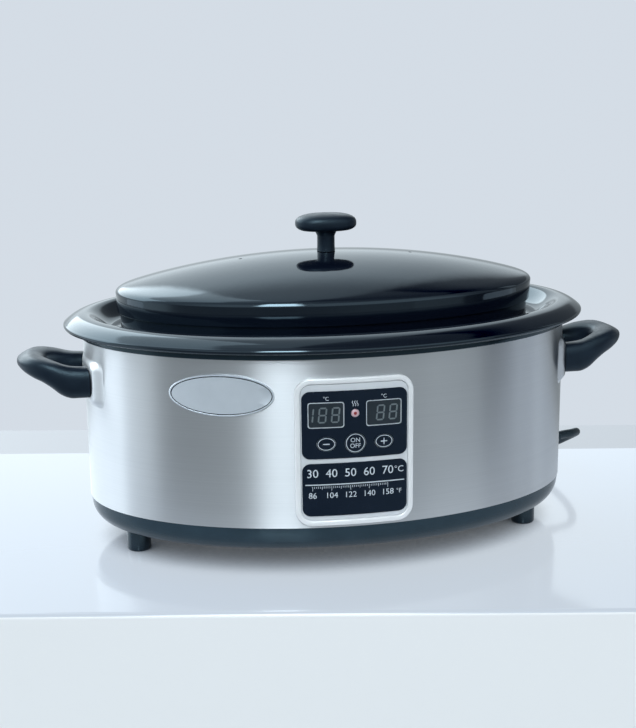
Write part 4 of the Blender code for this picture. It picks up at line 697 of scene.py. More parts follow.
def make_feet():
    for node in ("foot_front_left", "foot_front_right", "foot_rear_left", "foot_rear_right"):
        low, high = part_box(node)
        radius = (high.x - low.x) / 2
        profile = [(FOOT_BORE_RADIUS, high.z), (radius - FOOT_TOP_EDGE, high.z)]
        profile += arc((radius - FOOT_TOP_EDGE, high.z - FOOT_TOP_EDGE), FOOT_TOP_EDGE, 80, 0, 3)
        profile += arc((radius - FOOT_EDGE, low.z + FOOT_EDGE), FOOT_EDGE, 0, -90, 6)
        profile += [(FOOT_RECESS_RADIUS + FOOT_TOP_EDGE, low.z)]
        profile += [(FOOT_RECESS_RADIUS, low.z + FOOT_TOP_EDGE), (FOOT_RECESS_RADIUS, FOOT_RECESS)]
        profile += [(FOOT_BORE_RADIUS, FOOT_RECESS)]
        mesh = turned(profile, 56)
        mesh.transform(Matrix.Translation(((low.x + high.x) / 2, (low.y + high.y) / 2, 0)))
        piece(f"{node}_cap", mesh, "foot_plastic", node)


# Well, pan and lid

WELL_SHEET = 0.0008
WELL_INSET = 0.0283
WELL_BOTTOM = 0.0440
WELL_CORNER = 0.0080
WELL_BEND = 0.0008
WELL_LIP = (-0.0010, -0.0030, -0.0041)
NECK_INSET = 0.0087
NECK_SLOPE = (0.0070, 0.0090)
NECK_DEPTH = 0.0200


def make_well():
    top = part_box("liner_well")[HIGH].z
    neck_z = top - NECK_DEPTH
    bend = WELL_BEND
    profile = [(WELL_LIP[0], top), (WELL_LIP[1], top), (WELL_LIP[2] - bend, top - bend)]
    profile += [(-NECK_INSET + bend, top - NECK_SLOPE[0]), (-NECK_INSET, top - NECK_SLOPE[1])]
    profile += [(-NECK_INSET, neck_z + bend), (-NECK_INSET - 2 * bend, neck_z)]
    profile += [(-WELL_INSET + 2 * bend, neck_z - WELL_CORNER / 2 + bend)]
    profile += [(-WELL_INSET, neck_z - WELL_CORNER)]
    corner = (-WELL_INSET - WELL_CORNER, WELL_BOTTOM + WELL_CORNER)
    profile += arc(corner, WELL_CORNER, 0, -90, 10)
    piece("well", bowl(profile, WELL_SHEET), "aluminium", "liner_well")


PAN_SHEET = 0.0012
RIM_OVERHANG = 0.0142
RIM_EDGE_DROP = 0.0063
RIM_LEDGE = 0.0013
RIM_ROLL = 0.0021
RIM_CREST_INSET = 0.0035
RIM_ROLL_POWER = 2.2
RIM_STEPS = 30
CHANNEL_INSET = 0.0230
CHANNEL_WIDTH = 0.0080
CHANNEL_DROP = 0.0117
CHANNEL_STEPS = 24
PAN_CORNER = 0.0030
PAN_DRAFT = 0.0030
PAN_BOTTOM_RADIUS = 0.0120
PAN_FLOOR_RISE = 0.0042


def rim_profile():
    """The pan's upper side from the rim's rolled edge in to its floor."""
    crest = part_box("pan")[HIGH].z
    edge_z = crest - RIM_EDGE_DROP
    centre = (RIM_OVERHANG - RIM_ROLL, edge_z - RIM_ROLL)
    profile = arc(centre, RIM_ROLL, -75, 62, 12)
    width = RIM_OVERHANG - RIM_LEDGE + RIM_CREST_INSET
    for step in range(RIM_STEPS - 1, -1, -1):
        share = step / RIM_STEPS
        profile.append((-RIM_CREST_INSET + width * share, crest - RIM_EDGE_DROP * share ** RIM_ROLL_POWER))
    slope = CHANNEL_INSET - RIM_CREST_INSET
    for step in range(1, CHANNEL_STEPS + 1):
        share = step / CHANNEL_STEPS
        profile.append((-RIM_CREST_INSET - slope * share, crest - CHANNEL_DROP * smooth_step(share)))
    channel_z = crest - CHANNEL_DROP
    channel_end = CHANNEL_INSET + CHANNEL_WIDTH
    profile += arc((-channel_end, channel_z - PAN_CORNER), PAN_CORNER, 90, 180, 8)
    wall = channel_end + PAN_CORNER + PAN_DRAFT
    floor_z = WELL_BOTTOM + PAN_FLOOR_RISE
    profile += arc((-wall - PAN_BOTTOM_RADIUS, floor_z + PAN_BOTTOM_RADIUS), PAN_BOTTOM_RADIUS, 0, -90, 12)
    return profile


def make_pan():
    piece("enamel_pan", bowl(rim_profile(), PAN_SHEET), "enamel", "pan", body="pan_body")


LID_SHEET = 0.0012
LID_INSET = 0.0264
LID_NECK_STEP = 0.0030
LID_NECK_HEIGHT = 0.0115
LID_SKIRT_HEIGHT = 0.0149
LID_STEP_EDGE = 0.0009
LID_SKIRT_FLARE = -0.0009
LID_SKIRT_SHARES = (0.04, 0.50, 0.96)
LID_DOME_HEIGHT = 0.02595
LID_DOME_POWER = 0.92
LID_SHOULDER_SHARE = 0.11
LID_SHOULDER_POWER = 70
LID_STEPS = 72
LID_STEP_POWER = 1.5
LID_VENT_X = 0.0670
LID_VENT_RADIUS = 0.0014
LID_HOLE_RADIUS = 0.0023
LID_LOW_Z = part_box("lid_shell")[LOW].z
LID_STEP_Z = LID_LOW_Z + LID_NECK_HEIGHT
LID_SHOULDER_Z = LID_STEP_Z + LID_SKIRT_HEIGHT
LID_TOP_Z = LID_SHOULDER_Z + LID_DOME_HEIGHT


def dome_height(share):
    """Height of the dome at a share of its half length: a quick shoulder, then a slow crown."""
    shoulder = LID_SHOULDER_SHARE * math.sqrt(1 - share ** LID_SHOULDER_POWER)
    crown = (1 - LID_SHOULDER_SHARE) * (1 - share * share) ** LID_DOME_POWER
    return LID_SHOULDER_Z + LID_DOME_HEIGHT * (shoulder + crown)


def lid_rings():
    """The lid's outer side from its neck's lower edge up to the middle of the dome."""
    neck = LID_INSET + LID_NECK_STEP
    foot = LID_INSET - LID_SKIRT_FLARE
    profile = [(-neck, LID_LOW_Z), (-neck, LID_STEP_Z)]
    profile += arc((-foot - LID_STEP_EDGE, LID_STEP_Z + LID_STEP_EDGE), LID_STEP_EDGE, -90, 0, 5)
    rings = body_rings(profile)
    half_length = HALF_LENGTH - LID_INSET
    half_depth = HALF_DEPTH - LID_INSET
    skirt_low = LID_STEP_Z + LID_STEP_EDGE
    for share in LID_SKIRT_SHARES:
        flare = LID_SKIRT_FLARE * (1 - share)
        height = skirt_low + (LID_SHOULDER_Z - skirt_low) * share
        rings.append((half_length + flare, half_depth + flare, height))
    for step in range(LID_STEPS):
        share = math.cos(math.pi / 2 * (step / LID_STEPS) ** LID_STEP_POWER)
        rings.append((half_length * share, half_depth * share, dome_height(share)))
    return rings


def make_lid():
    mesh = dish(lid_rings(), LID_SHEET)
    low = LID_SHOULDER_Z + LID_DOME_HEIGHT / 3
    high = LID_TOP_Z + LID_SHEET
    holes = [prism(circle(LID_HOLE_RADIUS, count=24), low, high)]
    for side in (-1, 1):
        holes.append(prism(circle(LID_VENT_RADIUS, (side * LID_VENT_X, 0), 20), low, high))
    piece("lid_dome", cut(mesh, holes), "enamel", "lid_shell", body="lid")


KNOB_STEM_RADIUS = 0.0068
KNOB_STEM_FLARE = 0.0003
KNOB_STEM_HEIGHT = 0.0148
KNOB_STEM_SHARES = (0.30, 0.80)
KNOB_STEM_STEPS = 8
KNOB_HALF_LENGTH = 0.0238
KNOB_HALF_DEPTH = 0.0145
KNOB_CAP_HEIGHT = 0.0145
KNOB_PLAN_POWER = 2.5
KNOB_SIDE_POWER = 2.75
KNOB_MIDDLE_SHARE = 0.46
KNOB_STEPS = 72
KNOB_UNDER_ANGLE = -66
KNOB_ANGLE_STEP = 4
KNOB_NECK_ANGLE = 22
KNOB_NECK_GROWTH = (0.0016, 0.0006)
KNOB_SMOOTH_ANGLE = math.radians(60)


def make_knob():
    """The knob in one piece: a round stem that swells into a flattened oval loaf."""
    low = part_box("lid_knob")[LOW].z
    cap_low = low + KNOB_STEM_HEIGHT
    middle = cap_low + KNOB_CAP_HEIGHT * KNOB_MIDDLE_SHARE
    rows = []
    for step in range(KNOB_STEM_STEPS + 1):
        share = step / KNOB_STEM_STEPS
        radius = KNOB_STEM_RADIUS + KNOB_STEM_FLARE * (1 - share) ** 2
        height = low + KNOB_STEM_HEIGHT * KNOB_STEM_SHARES[0] * share
        rows.append(oval_row(radius, radius, height, 2, KNOB_STEPS))
    height = low + KNOB_STEM_HEIGHT * KNOB_STEM_SHARES[1]
    rows.append(oval_row(KNOB_STEM_RADIUS, KNOB_STEM_RADIUS, height, 2, KNOB_STEPS))
    for angle in range(KNOB_UNDER_ANGLE, 90, KNOB_ANGLE_STEP):
        rise = math.radians(angle)
        reach = full_power(math.cos(rise), KNOB_SIDE_POWER)
        level = full_power(math.sin(rise), KNOB_SIDE_POWER)
        height = KNOB_CAP_HEIGHT * (1 - KNOB_MIDDLE_SHARE if level > 0 else KNOB_MIDDLE_SHARE)
        neck = max(0.0, 1 - (angle - KNOB_UNDER_ANGLE) / KNOB_NECK_ANGLE)
        half_length, half_depth = (
            full * reach * (1 - neck) + (KNOB_STEM_RADIUS + growth) * neck
            for full, growth in zip((KNOB_HALF_LENGTH, KNOB_HALF_DEPTH), KNOB_NECK_GROWTH)
        )
        power = 2 * neck + KNOB_PLAN_POWER * (1 - neck)
        rows.append(oval_row(half_length, half_depth, middle + height * level, power, KNOB_STEPS))
    top = (0, 0, cap_low + KNOB_CAP_HEIGHT)
    mesh = loft(rows, start_cap=(0, 0, low), end_cap=top)
    piece("knob", mesh, "phenolic", "lid_knob", body="lid", angle=KNOB_SMOOTH_ANGLE)


# Handles and their seats

HANDLE_PROJECTION = 0.0488
HANDLE_HALF_WIDTH = 0.0341
HANDLE_HOLE_REACH = 0.0270
HANDLE_HOLE_HALF_WIDTH = 0.0165
HANDLE_TOP_DROPS = (0.0222, 0.0210, 0.0169, 0.0145, 0.0165)
HANDLE_UNDERSIDE_DROPS = (0.0455, 0.0455, 0.0454, 0.0427, 0.0374, 0.0332, 0.0306, 0.0276, 0.0240)
HANDLE_OUTLINE_POWER = 2.4
HANDLE_HOLE_POWER = 1.9
HANDLE_SECTION_POWER = 2.9
HANDLE_SETBACK_SHARE = 0.643
HANDLE_STAND_OFF = 0.0016
HANDLE_INNER_X = HALF_LENGTH + HANDLE_STAND_OFF
HANDLE_SECTION_POINTS = 40
HANDLE_STATIONS = 72
HANDLE_TOPS = tuple(WALL_TOP_Z - drop for drop in HANDLE_TOP_DROPS)
HANDLE_UNDERSIDES = tuple(WALL_TOP_Z - drop for drop in HANDLE_UNDERSIDE_DROPS)
HANDLE_MIDDLE_Z = (HANDLE_TOPS[0] + HANDLE_UNDERSIDES[0]) / 2
PAD_HALF_HEIGHT = 0.0110
PAD_MARGIN = 0.0100
PAD_FADE = 0.0080
PAD_FULL_SHARE = 0.76
PAD_SHEET = 0.0010
PAD_STEPS = 64
PAD_ROWS = 32


def table_height(heights, share):
    """Height on a smooth curve through evenly spaced ones."""
    span = len(heights) - 1
    along = max(0.0, min(1.0, share)) * span
    index = min(int(along), span - 1)
    corners = (heights[max(index - 1, 0)], heights[index], heights[index + 1], heights[min(index + 2, span)])
    return curve_value(*corners, along - index)


def root_setback(y):
    fall = HALF_LENGTH * (1 - math.sqrt(1 - (y / HALF_DEPTH) ** 2))
    return fall * HANDLE_SETBACK_SHARE


def tongue_point(angle, reach, half_width, power):
    share = full_power(max(0.0, math.cos(angle)), power)
    return Vector((reach * share, half_width * full_power(math.sin(angle), power), share))


def handle_ring(angle):
    """One rounded section of the grip, between the finger hole and the outside."""
    outer = tongue_point(angle, HANDLE_PROJECTION, HANDLE_HALF_WIDTH, HANDLE_OUTLINE_POWER)
    inner = tongue_point(angle, HANDLE_HOLE_REACH, HANDLE_HOLE_HALF_WIDTH, HANDLE_HOLE_POWER)
    ring = []
    for index in range(HANDLE_SECTION_POINTS):
        turn = 2 * math.pi * index / HANDLE_SECTION_POINTS
        across = (1 + full_power(math.cos(turn), HANDLE_SECTION_POWER)) / 2
        level = (1 + full_power(math.sin(turn), HANDLE_SECTION_POWER)) / 2
        out, y, share = inner.lerp(outer, across)
        x = HANDLE_INNER_X + out - root_setback(y) * (1 - share)
        low = table_height(HANDLE_UNDERSIDES, out / HANDLE_PROJECTION)
        high = table_height(HANDLE_TOPS, out / HANDLE_PROJECTION)
        ring.append((x, y, low + (high - low) * level))
    return ring


def mirrored(mesh, side):
    if side < 0:
        mesh.transform(Matrix.Diagonal((-1, 1, 1, 1)))
        mesh.flip_normals()
    return mesh


def make_handle(side, label):
    rows = [handle_ring(math.pi * (step / HANDLE_STATIONS - 0.5)) for step in range(HANDLE_STATIONS + 1)]
    piece(f"grip_{label}", mirrored(block(rows), side), "phenolic", f"handle_{label}")


def pad_row(height):
    """One level line of the raised seat under a handle, which fades into the wall all round."""
    reach = HANDLE_HALF_WIDTH + PAD_MARGIN
    rise = 1 - smooth_step((abs(height - HANDLE_MIDDLE_Z) - PAD_HALF_HEIGHT) / PAD_FADE)
    front = []
    back = []
    for step in range(PAD_STEPS + 1):
        y = reach * (2 * step / PAD_STEPS - 1)
        wall_x = HALF_LENGTH * math.sqrt(1 - (y / HALF_DEPTH) ** 2)
        face_x = HANDLE_INNER_X - GAP - root_setback(y)
        fade = rise * (1 - smooth_step((abs(y) / reach - PAD_FULL_SHARE) / (1 - PAD_FULL_SHARE)))
        x = wall_x - GAP + (face_x - wall_x + GAP) * fade
        front.append((x, y, height))
        back.append((min(x, wall_x) - PAD_SHEET, y, height))
    return front + back[::-1]


def make_seat(side, label):
    half = PAD_HALF_HEIGHT + PAD_FADE
    rows = [pad_row(HANDLE_MIDDLE_Z + half * (2 * step / PAD_ROWS - 1)) for step in range(PAD_ROWS + 1)]
    piece(f"seat_{label}", mirrored(block(rows), side), "steel", f"handle_pad_{label}")


make_wall()
make_collar()
make_tray()
make_feet()
make_well()
make_pan()
make_lid()
make_knob()
for side, label in ((-1, "left"), (1, "right")):
    make_handle(side, label)
    make_seat(side, label)


# Control panel, drawn in front view as (x, z) and laid on the wall

PANEL_LOW, PANEL_HIGH = (corner.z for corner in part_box("panel_bezel"))
PANEL_Z = (PANEL_LOW + PANEL_HIGH) / 2
PANEL_HALF_HEIGHT = (PANEL_HIGH - PANEL_LOW) / 2
PANEL_HALF_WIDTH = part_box("panel_bezel")[HIGH].x
PANEL_CORNER = 0.0120
BEZEL_WIDTH = 0.0040
BEZEL_THICKNESS = 0.0021
BEZEL_ROUND = 0.0010
PLATE_THICKNESS = 0.0010
OVERLAY_LIFT = 2 * GAP + PLATE_THICKNESS
OVERLAY_THICKNESS = 0.0005
OVERLAY_EDGE = OVERLAY_THICKNESS / 3
OVERLAY_TOP_LIFT = OVERLAY_LIFT + OVERLAY_THICKNESS
OVERLAY_CORNER = 0.0060
OVERLAY_HALF_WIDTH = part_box("control_overlay")[HIGH].x
WINDOW_X = 0.0211
WINDOW_HALF_WIDTH = 0.0124
WINDOW_HALF_HEIGHT = 0.0088
WINDOW_CORNER = 0.0015
WINDOW_EDGE = OVERLAY_THICKNESS / 4
LENS_RADIUS = 0.0028
LENS_RISE = LENS_RADIUS / 4
LENS_ARC = (12, 84)
LENS_STEPS = 6
LAMP_CORE_RADIUS = 0.0012
KEY_X = 0.0211
KEY_HALF_LENGTH = 0.0068
KEY_HALF_HEIGHT = 0.0052
POWER_KEY_RADIUS = 0.0075
KEY_BACK_LIFT = 0.0009
KEY_THICKNESS = 0.0015
KEY_EDGE = KEY_THICKNESS / 5
INK = 0.00006
CROSSING_INK = INK * 1.2
BAR_CORNER_SHARE = 0.6
LINE_WIDTH = 0.0005
WINDOW_LINE_GAP = 0.0002
KEY_RING_INSET = 0.0006
KEY_BAR_HALF_LENGTH = 0.0024
KEY_BAR_HALF_WIDTH = 0.00035
KEY_TEXT_SIZE = 0.0046
KEY_TEXT_ROWS = (("ON", 0.0021), ("OFF", -0.0022))


def middle_z(node):
    low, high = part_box(node)
    return (low.z + high.z) / 2


LOWER_Z = middle_z("info_label")
WINDOW_Z = middle_z("window_left")
LENS_Z = middle_z("led_lens")
KEY_Z = middle_z("key_power")
KEY_SIDES = {"minus": -1, "power": 0, "plus": 1}


def panel_outline(inset, side_steps=1):
    """The panel's rounded outline, moved in by an inset."""
    half_width = PANEL_HALF_WIDTH - inset
    half_height = PANEL_HALF_HEIGHT - inset
    return rounded_box(half_width, half_height, PANEL_CORNER - inset, (0, PANEL_Z), 10, side_steps)


def key_outline(name, growth=0.0):
    if name == "power":
        return circle(POWER_KEY_RADIUS + growth, (0, KEY_Z), 72)
    centre = (KEY_SIDES[name] * KEY_X, KEY_Z)
    return oval_outline(KEY_HALF_LENGTH + growth, KEY_HALF_HEIGHT + growth, centre, 72)


def window_outline(side, growth=0.0):
    half_width = WINDOW_HALF_WIDTH + growth
    half_height = WINDOW_HALF_HEIGHT + growth
    return rounded_box(half_width, half_height, WINDOW_CORNER + growth / 2, (side * WINDOW_X, WINDOW_Z), 5)


def make_bezel():
    """The bezel: a closed section of (inset, height) carried round the panel."""
    width = BEZEL_WIDTH
    height = BEZEL_THICKNESS
    section = [(0, 0)] + arc((BEZEL_ROUND, height - BEZEL_ROUND), BEZEL_ROUND, 180, 90, 6)
    section += arc((width - BEZEL_ROUND, height - BEZEL_ROUND), BEZEL_ROUND, 90, 0, 6) + [(width, 0)]
    rows = [row_at(panel_outline(inset, 24), height) for inset, height in section]
    piece("bezel", wrap(loft(rows, closed=True), GAP, False), "bezel_silver", "panel_bezel")


def make_plate():
    holes = [window_outline(side, GAP) for side in (-1, 1)]
    holes += [circle(LENS_RADIUS + GAP, (0, LENS_Z), 32)]
    holes += [key_outline(key, GAP) for key in KEY_SIDES]
    plate = flat_mesh([panel_outline(BEZEL_WIDTH + GAP)] + holes, PLATE_THICKNESS)
    piece("plate", wrap(plate, GAP), "bezel_silver", "panel_plate", finish=PLATE_FINISH)
    for name, node, openings in (("overlay", "control_overlay", holes), ("scale_label", "info_label", [])):
        low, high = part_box(node)
        centre = (0, (low.z + high.z) / 2)
        outline = rounded_box(OVERLAY_HALF_WIDTH, (high.z - low.z) / 2, OVERLAY_CORNER, centre, 10)
        film = flat_mesh([outline] + openings, OVERLAY_THICKNESS, OVERLAY_EDGE)
        piece(name, wrap(film, OVERLAY_LIFT), "overlay_black", node)


SEGMENT_LENGTH = 0.0050
SEGMENT_HEIGHT = 0.0053
SEGMENT_WIDTH = 0.0011
SEGMENT_GAP = 0.00018
DIGIT_SLANT = 0.10
DIGIT_STEP = 0.0094
DIGIT_INSET = 0.0055
SEGMENTS = {"8": "abcdefg", "1": "bc"}


def segment_outlines(digit, centre):
    """The bars of a seven-segment digit, as six-cornered outlines with a slight slant."""
    half = SEGMENT_LENGTH / 2
    level = SEGMENT_HEIGHT / 2
    places = {
        "a": (0, 2 * level, 0), "g": (0, 0, 0), "d": (0, -2 * level, 0),
        "b": (half, level, 1), "c": (half, -level, 1), "f": (-half, level, 1), "e": (-half, -level, 1),
    }
    side = SEGMENT_WIDTH / 2
    outlines = []
    for letter in SEGMENTS[digit]:
        x, z, upright = places[letter]
        reach = (level if upright else half) - SEGMENT_GAP
        bar = ((-reach, 0), (-reach + side, side), (reach - side, side), (reach, 0), (reach - side, -side),
               (-reach + side, -side))
        outline = []
        for along, across in bar:
            px, pz = (x - across, z + along) if upright else (x + along, z + across)
            outline.append(Vector((centre[0] + px + pz * DIGIT_SLANT, centre[1] + pz)))
        outlines.append(outline)
    return outlines


def make_windows():
    thickness = PLATE_THICKNESS + GAP + OVERLAY_THICKNESS
    ink_lift = GAP + thickness
    for side, label, digits in ((-1, "left", "188"), (1, "right", "88")):
        glass = flat_mesh([window_outline(side)], thickness, WINDOW_EDGE)
        piece(f"glass_{label}", wrap(glass, GAP), "window_smoke", f"window_{label}")
        outlines = []
        last = side * WINDOW_X + WINDOW_HALF_WIDTH - DIGIT_INSET
        for index, digit in enumerate(reversed(digits)):
            outlines += segment_outlines(digit, (last - index * DIGIT_STEP, WINDOW_Z))
        bars = wrap(join_meshes([flat_mesh([outline], INK) for outline in outlines]), ink_lift)
        piece(f"digits_{label}", bars, "window_smoke", finish=DIGIT_FINISH)
        ring = [window_outline(side, WINDOW_LINE_GAP + LINE_WIDTH), window_outline(side, WINDOW_LINE_GAP)]
        line = wrap(flat_mesh(ring, INK), OVERLAY_TOP_LIFT)
        piece(f"window_line_{label}", line, "bezel_silver", finish=INK_FINISH)


def make_lamp():
    centre = (0, LENS_Z)
    start, end = LENS_ARC
    rows = [row_at(circle(LENS_RADIUS, centre, 32), 0)]
    for step in range(LENS_STEPS + 1):
        angle = math.radians(start + (end - start) * step / LENS_STEPS)
        height = OVERLAY_LIFT + LENS_RISE * math.sin(angle)
        rows.append(row_at(circle(LENS_RADIUS * math.cos(angle), centre, 32), height))
    mesh = loft(rows, start_cap="flat", end_cap=(*centre, OVERLAY_LIFT + LENS_RISE))
    piece("lamp_lens", wrap(mesh, GAP, False), "lens_red", "led_lens", finish=LENS_EDGE_FINISH)
    core = flat_mesh([circle(LAMP_CORE_RADIUS, centre, 24)], INK * 2)
    piece("lamp_core", wrap(core, GAP + OVERLAY_LIFT + LENS_RISE, False), "lens_red")


def bar_mesh(centre, half_width, half_height, thickness=INK):
    """A printed bar with rounded corners."""
    corner = min(half_width, half_height) * BAR_CORNER_SHARE
    return flat_mesh([rounded_box(half_width, half_height, corner, centre, 3)], thickness)


def make_keys():
    for name, side in KEY_SIDES.items():
        body = f"{name}_key"
        cap = flat_mesh([key_outline(name)], KEY_THICKNESS, KEY_EDGE)
        piece(f"cap_{name}", wrap(cap, KEY_BACK_LIFT), "overlay_black", f"key_{name}", body=body)
        ring = [key_outline(name, -KEY_RING_INSET), key_outline(name, -KEY_RING_INSET - LINE_WIDTH)]
        marks = [flat_mesh(ring, INK)]
        centre = (side * KEY_X, KEY_Z)
        if name == "power":
            marks += [text_mesh(word, KEY_TEXT_SIZE, (0, KEY_Z + rise)) for word, rise in KEY_TEXT_ROWS]
        else:
            marks.append(bar_mesh(centre, KEY_BAR_HALF_LENGTH, KEY_BAR_HALF_WIDTH))
        if name == "plus":
            marks.append(bar_mesh(centre, KEY_BAR_HALF_WIDTH, KEY_BAR_HALF_LENGTH, CROSSING_INK))
        mesh = wrap(join_meshes(marks), KEY_BACK_LIFT + KEY_THICKNESS)
        piece(f"mark_{name}", mesh, "bezel_silver", body=body, finish=INK_FINISH)


UNIT_RISE = 0.0033
UNIT_SIZE = 0.0040
HEAT_RISE = 0.0052
HEAT_LENGTH = 0.0040
HEAT_STEP = 0.0017
HEAT_SWING = 0.0005
HEAT_LINE = 0.00045
HEAT_POINTS = 8
RULE_RISE = 0.0040
RULE_HALF_LENGTH = 0.0365
RULE_HALF_WIDTH = 0.0004
RULE_DROP = 0.0012
# Each row of the scale: its numbers, its unit, its rise over the rule and the size of its characters
SCALE_ROWS = (
    (("30", "40", "50", "60", "70"), "°C", 0.0082, 0.0088),
    (("86", "104", "122", "140", "158"), "°F", -0.0084, 0.0062),
)
SCALE_STEP = 0.0138
SCALE_X = -0.0036
SCALE_UNIT_X = 0.0325
SCALE_UNIT_SHARE = 0.75
SCALE_TICKS = 40
TICK_WIDTH = 0.00032
# A tick's length, where its number divides by the first value
TICK_LENGTHS = ((10, 0.0034), (5, 0.0024), (1, 0.0016))


def heat_wave(x):
    """One rising wavy line of the heat sign."""
    points = []
    for index in range(HEAT_POINTS + 1):
        share = index / HEAT_POINTS
        swing = HEAT_SWING * math.sin(share * 2 * math.pi)
        points.append(Vector((x + swing, LENS_Z + HEAT_RISE + HEAT_LENGTH * share)))
    return stroke_mesh(points, HEAT_LINE)


def make_printing():
    """Generic marks: units over the windows, a heat sign over the lamp, and a plain scale of numbers."""
    high = WINDOW_Z + WINDOW_HALF_HEIGHT + UNIT_RISE
    marks = [text_mesh("°C", UNIT_SIZE, (side * WINDOW_X, high)) for side in (-1, 1)]
    marks += [heat_wave(step * HEAT_STEP) for step in (-1, 0, 1)]
    rule_z = LOWER_Z + RULE_RISE
    for numbers, unit, rise, size in SCALE_ROWS:
        for index, number in enumerate(numbers):
            x = SCALE_X + (index - (len(numbers) - 1) / 2) * SCALE_STEP
            marks.append(text_mesh(number, size, (x, rule_z + rise)))
        marks.append(text_mesh(unit, size * SCALE_UNIT_SHARE, (SCALE_UNIT_X, rule_z + rise)))
    marks.append(bar_mesh((0, rule_z), RULE_HALF_LENGTH, RULE_HALF_WIDTH))
    for index in range(SCALE_TICKS + 1):
        length = next(size for every, size in TICK_LENGTHS if index % every == 0)
        centre = (SCALE_X + (index - SCALE_TICKS / 2) * SCALE_STEP / 10, rule_z - RULE_DROP - length / 2)
        marks.append(bar_mesh(centre, TICK_WIDTH / 2, length / 2))
    piece("printing", wrap(join_meshes(marks), OVERLAY_TOP_LIFT), "bezel_silver", finish=INK_FINISH)


def stroke_mesh(points, width):
    """A thin flat line along points in the XY plane."""
    left = []
    right = []
    for index, point in enumerate(points):
        before = points[max(index - 1, 0)]
        after = points[min(index + 1, len(points) - 1)]
        along = (after - before).normalized()
        across = Vector((-along.y, along.x)) * width / 2
        left.append(point + across)
        right.append(point - across)
    return flat_mesh([left + right[::-1]], INK)


BADGE_X = -0.0938
BADGE_Z = middle_z("badge_plate")
BADGE_HALF_WIDTH = 0.0365
BADGE_HALF_HEIGHT = 0.0155
BADGE_BORDER = 0.0011
BADGE_LINE = 0.0007
BADGE_FACE_SHARES = (0.75, 0.5, 0.25)
# The badge's rim from its outer edge in, as (inset, height)
BADGE_SECTION = ((0, 0), (0, 0.0007), (0.0003, 0.0010), (0.0009, 0.0010), (0.0012, 0.00075))


def badge_outline(inset, share=1.0):
    half_width = (BADGE_HALF_WIDTH - inset) * share
    half_height = (BADGE_HALF_HEIGHT - inset) * share
    return oval_outline(half_width, half_height, (BADGE_X, BADGE_Z), 96)


def make_badge():
    """A bare oval plate with a raised rim and a thin dark line inside it."""
    edge, face = BADGE_SECTION[-1]
    rows = [row_at(badge_outline(inset), height) for inset, height in BADGE_SECTION]
    rows += [row_at(badge_outline(edge, share), face) for share in BADGE_FACE_SHARES]
    mesh = loft(rows, start_cap="flat", end_cap=(BADGE_X, BADGE_Z, face))
    piece("badge", wrap(mesh, GAP, False), "bezel_silver", "badge_plate", finish=BADGE_FINISH)
    line = flat_mesh([badge_outline(BADGE_BORDER), badge_outline(BADGE_BORDER + BADGE_LINE)], INK)
    piece("badge_line", wrap(line, GAP + face), "bezel_silver", finish=FINISHES["overlay_black"])


PLATE_FINISH = metal("bright_plate", (0.80, 0.82, 0.86), (0.85, 0.87, 0.90), 0.20, 0.000001, 0.35)
BADGE_FINISH = metal("badge_face", (0.71, 0.76, 0.82), (0.75, 0.80, 0.86), 0.42, 0.000001, 0.7)
INK_FINISH = moulded("white_ink", (0.50, 0.54, 0.58), (0.60, 0.64, 0.68), 0.45, 0.000004)
DIGIT_FINISH = moulded("dark_segments", (0.11, 0.135, 0.15), (0.15, 0.175, 0.19), 0.35, 0.000004)
LENS_EDGE_FINISH = moulded("lens_edge", (0.62, 0.40, 0.44), (0.72, 0.50, 0.54), 0.16, 0.000001)

make_bezel()
make_plate()
make_windows()
make_lamp()
make_keys()
make_printing()
make_badge()


# Mains lead, its strain relief, its tie and its plug

RELIEF_RIB_PITCH = 0.0032
RELIEF_RIB_DEPTH = 0.0009
RELIEF_ROOT_RADIUS = 0.0062
RELIEF_TIP_RADIUS = 0.0046
RELIEF_FLANGE_RADIUS = 0.0080
RELIEF_FLANGE = 0.0020
RELIEF_NECK_RADIUS = 0.0050
RELIEF_NECK = 0.0015
RELIEF_HEAD = 0.0030
RELIEF_EDGE = 0.0008
RELIEF_TIP_EDGE = (0.0005, 0.0006)
RELIEF_RIB_FADE = 0.6
# One rib and groove, as (share of the pitch, share of the groove's depth)
RELIEF_RIB = ((0.0, 0.0), (0.45, 0.0), (0.55, 1.0), (0.9, 1.0))
TIE_SHEET = 0.0009
TIE_WIDTH = 0.0080
TIE_TURN = 0.6
TIE_CLEARANCE = 0.0008
PLUG_LENGTH = 0.0360
PLUG_WIDTH = 0.0270
PLUG_EDGE = 0.0045
PLUG_NECK_LENGTH = 0.0140
PLUG_NECK_RADIUS = 0.0060
PLUG_TAPER_SHARE = 0.78
PLUG_NECK_GROWTH = 0.0006
PLUG_NECK_GROOVE = 0.0008
PLUG_NECK_STEPS = 12
PLUG_SHOULDER_STEPS = 8
PLUG_FRONT_STEPS = 6
PLUG_FRONT_SHARE = 0.5
PLUG_RIBS = 6
PLUG_RIB_SHARES = (0.10, 0.72)
PLUG_RIB_DEPTH = 0.0007
PLUG_GRIP_STEPS = 40
BLADE_PITCH = 0.0127
BLADE_LENGTH = 0.0170
BLADE_WIDTH = 0.0063
BLADE_THICKNESS = 0.0015
BLADE_CORNER = 0.00025
BLADE_TIP = 0.0016
BLADE_EDGE = 0.0006
BLADE_EDGE_SHARE = 0.6
EARTH_PIN_RADIUS = 0.0024
EARTH_PIN_LENGTH = 0.0205
EARTH_PIN_OFFSET = 0.0091
PIN_SINK = 0.0060


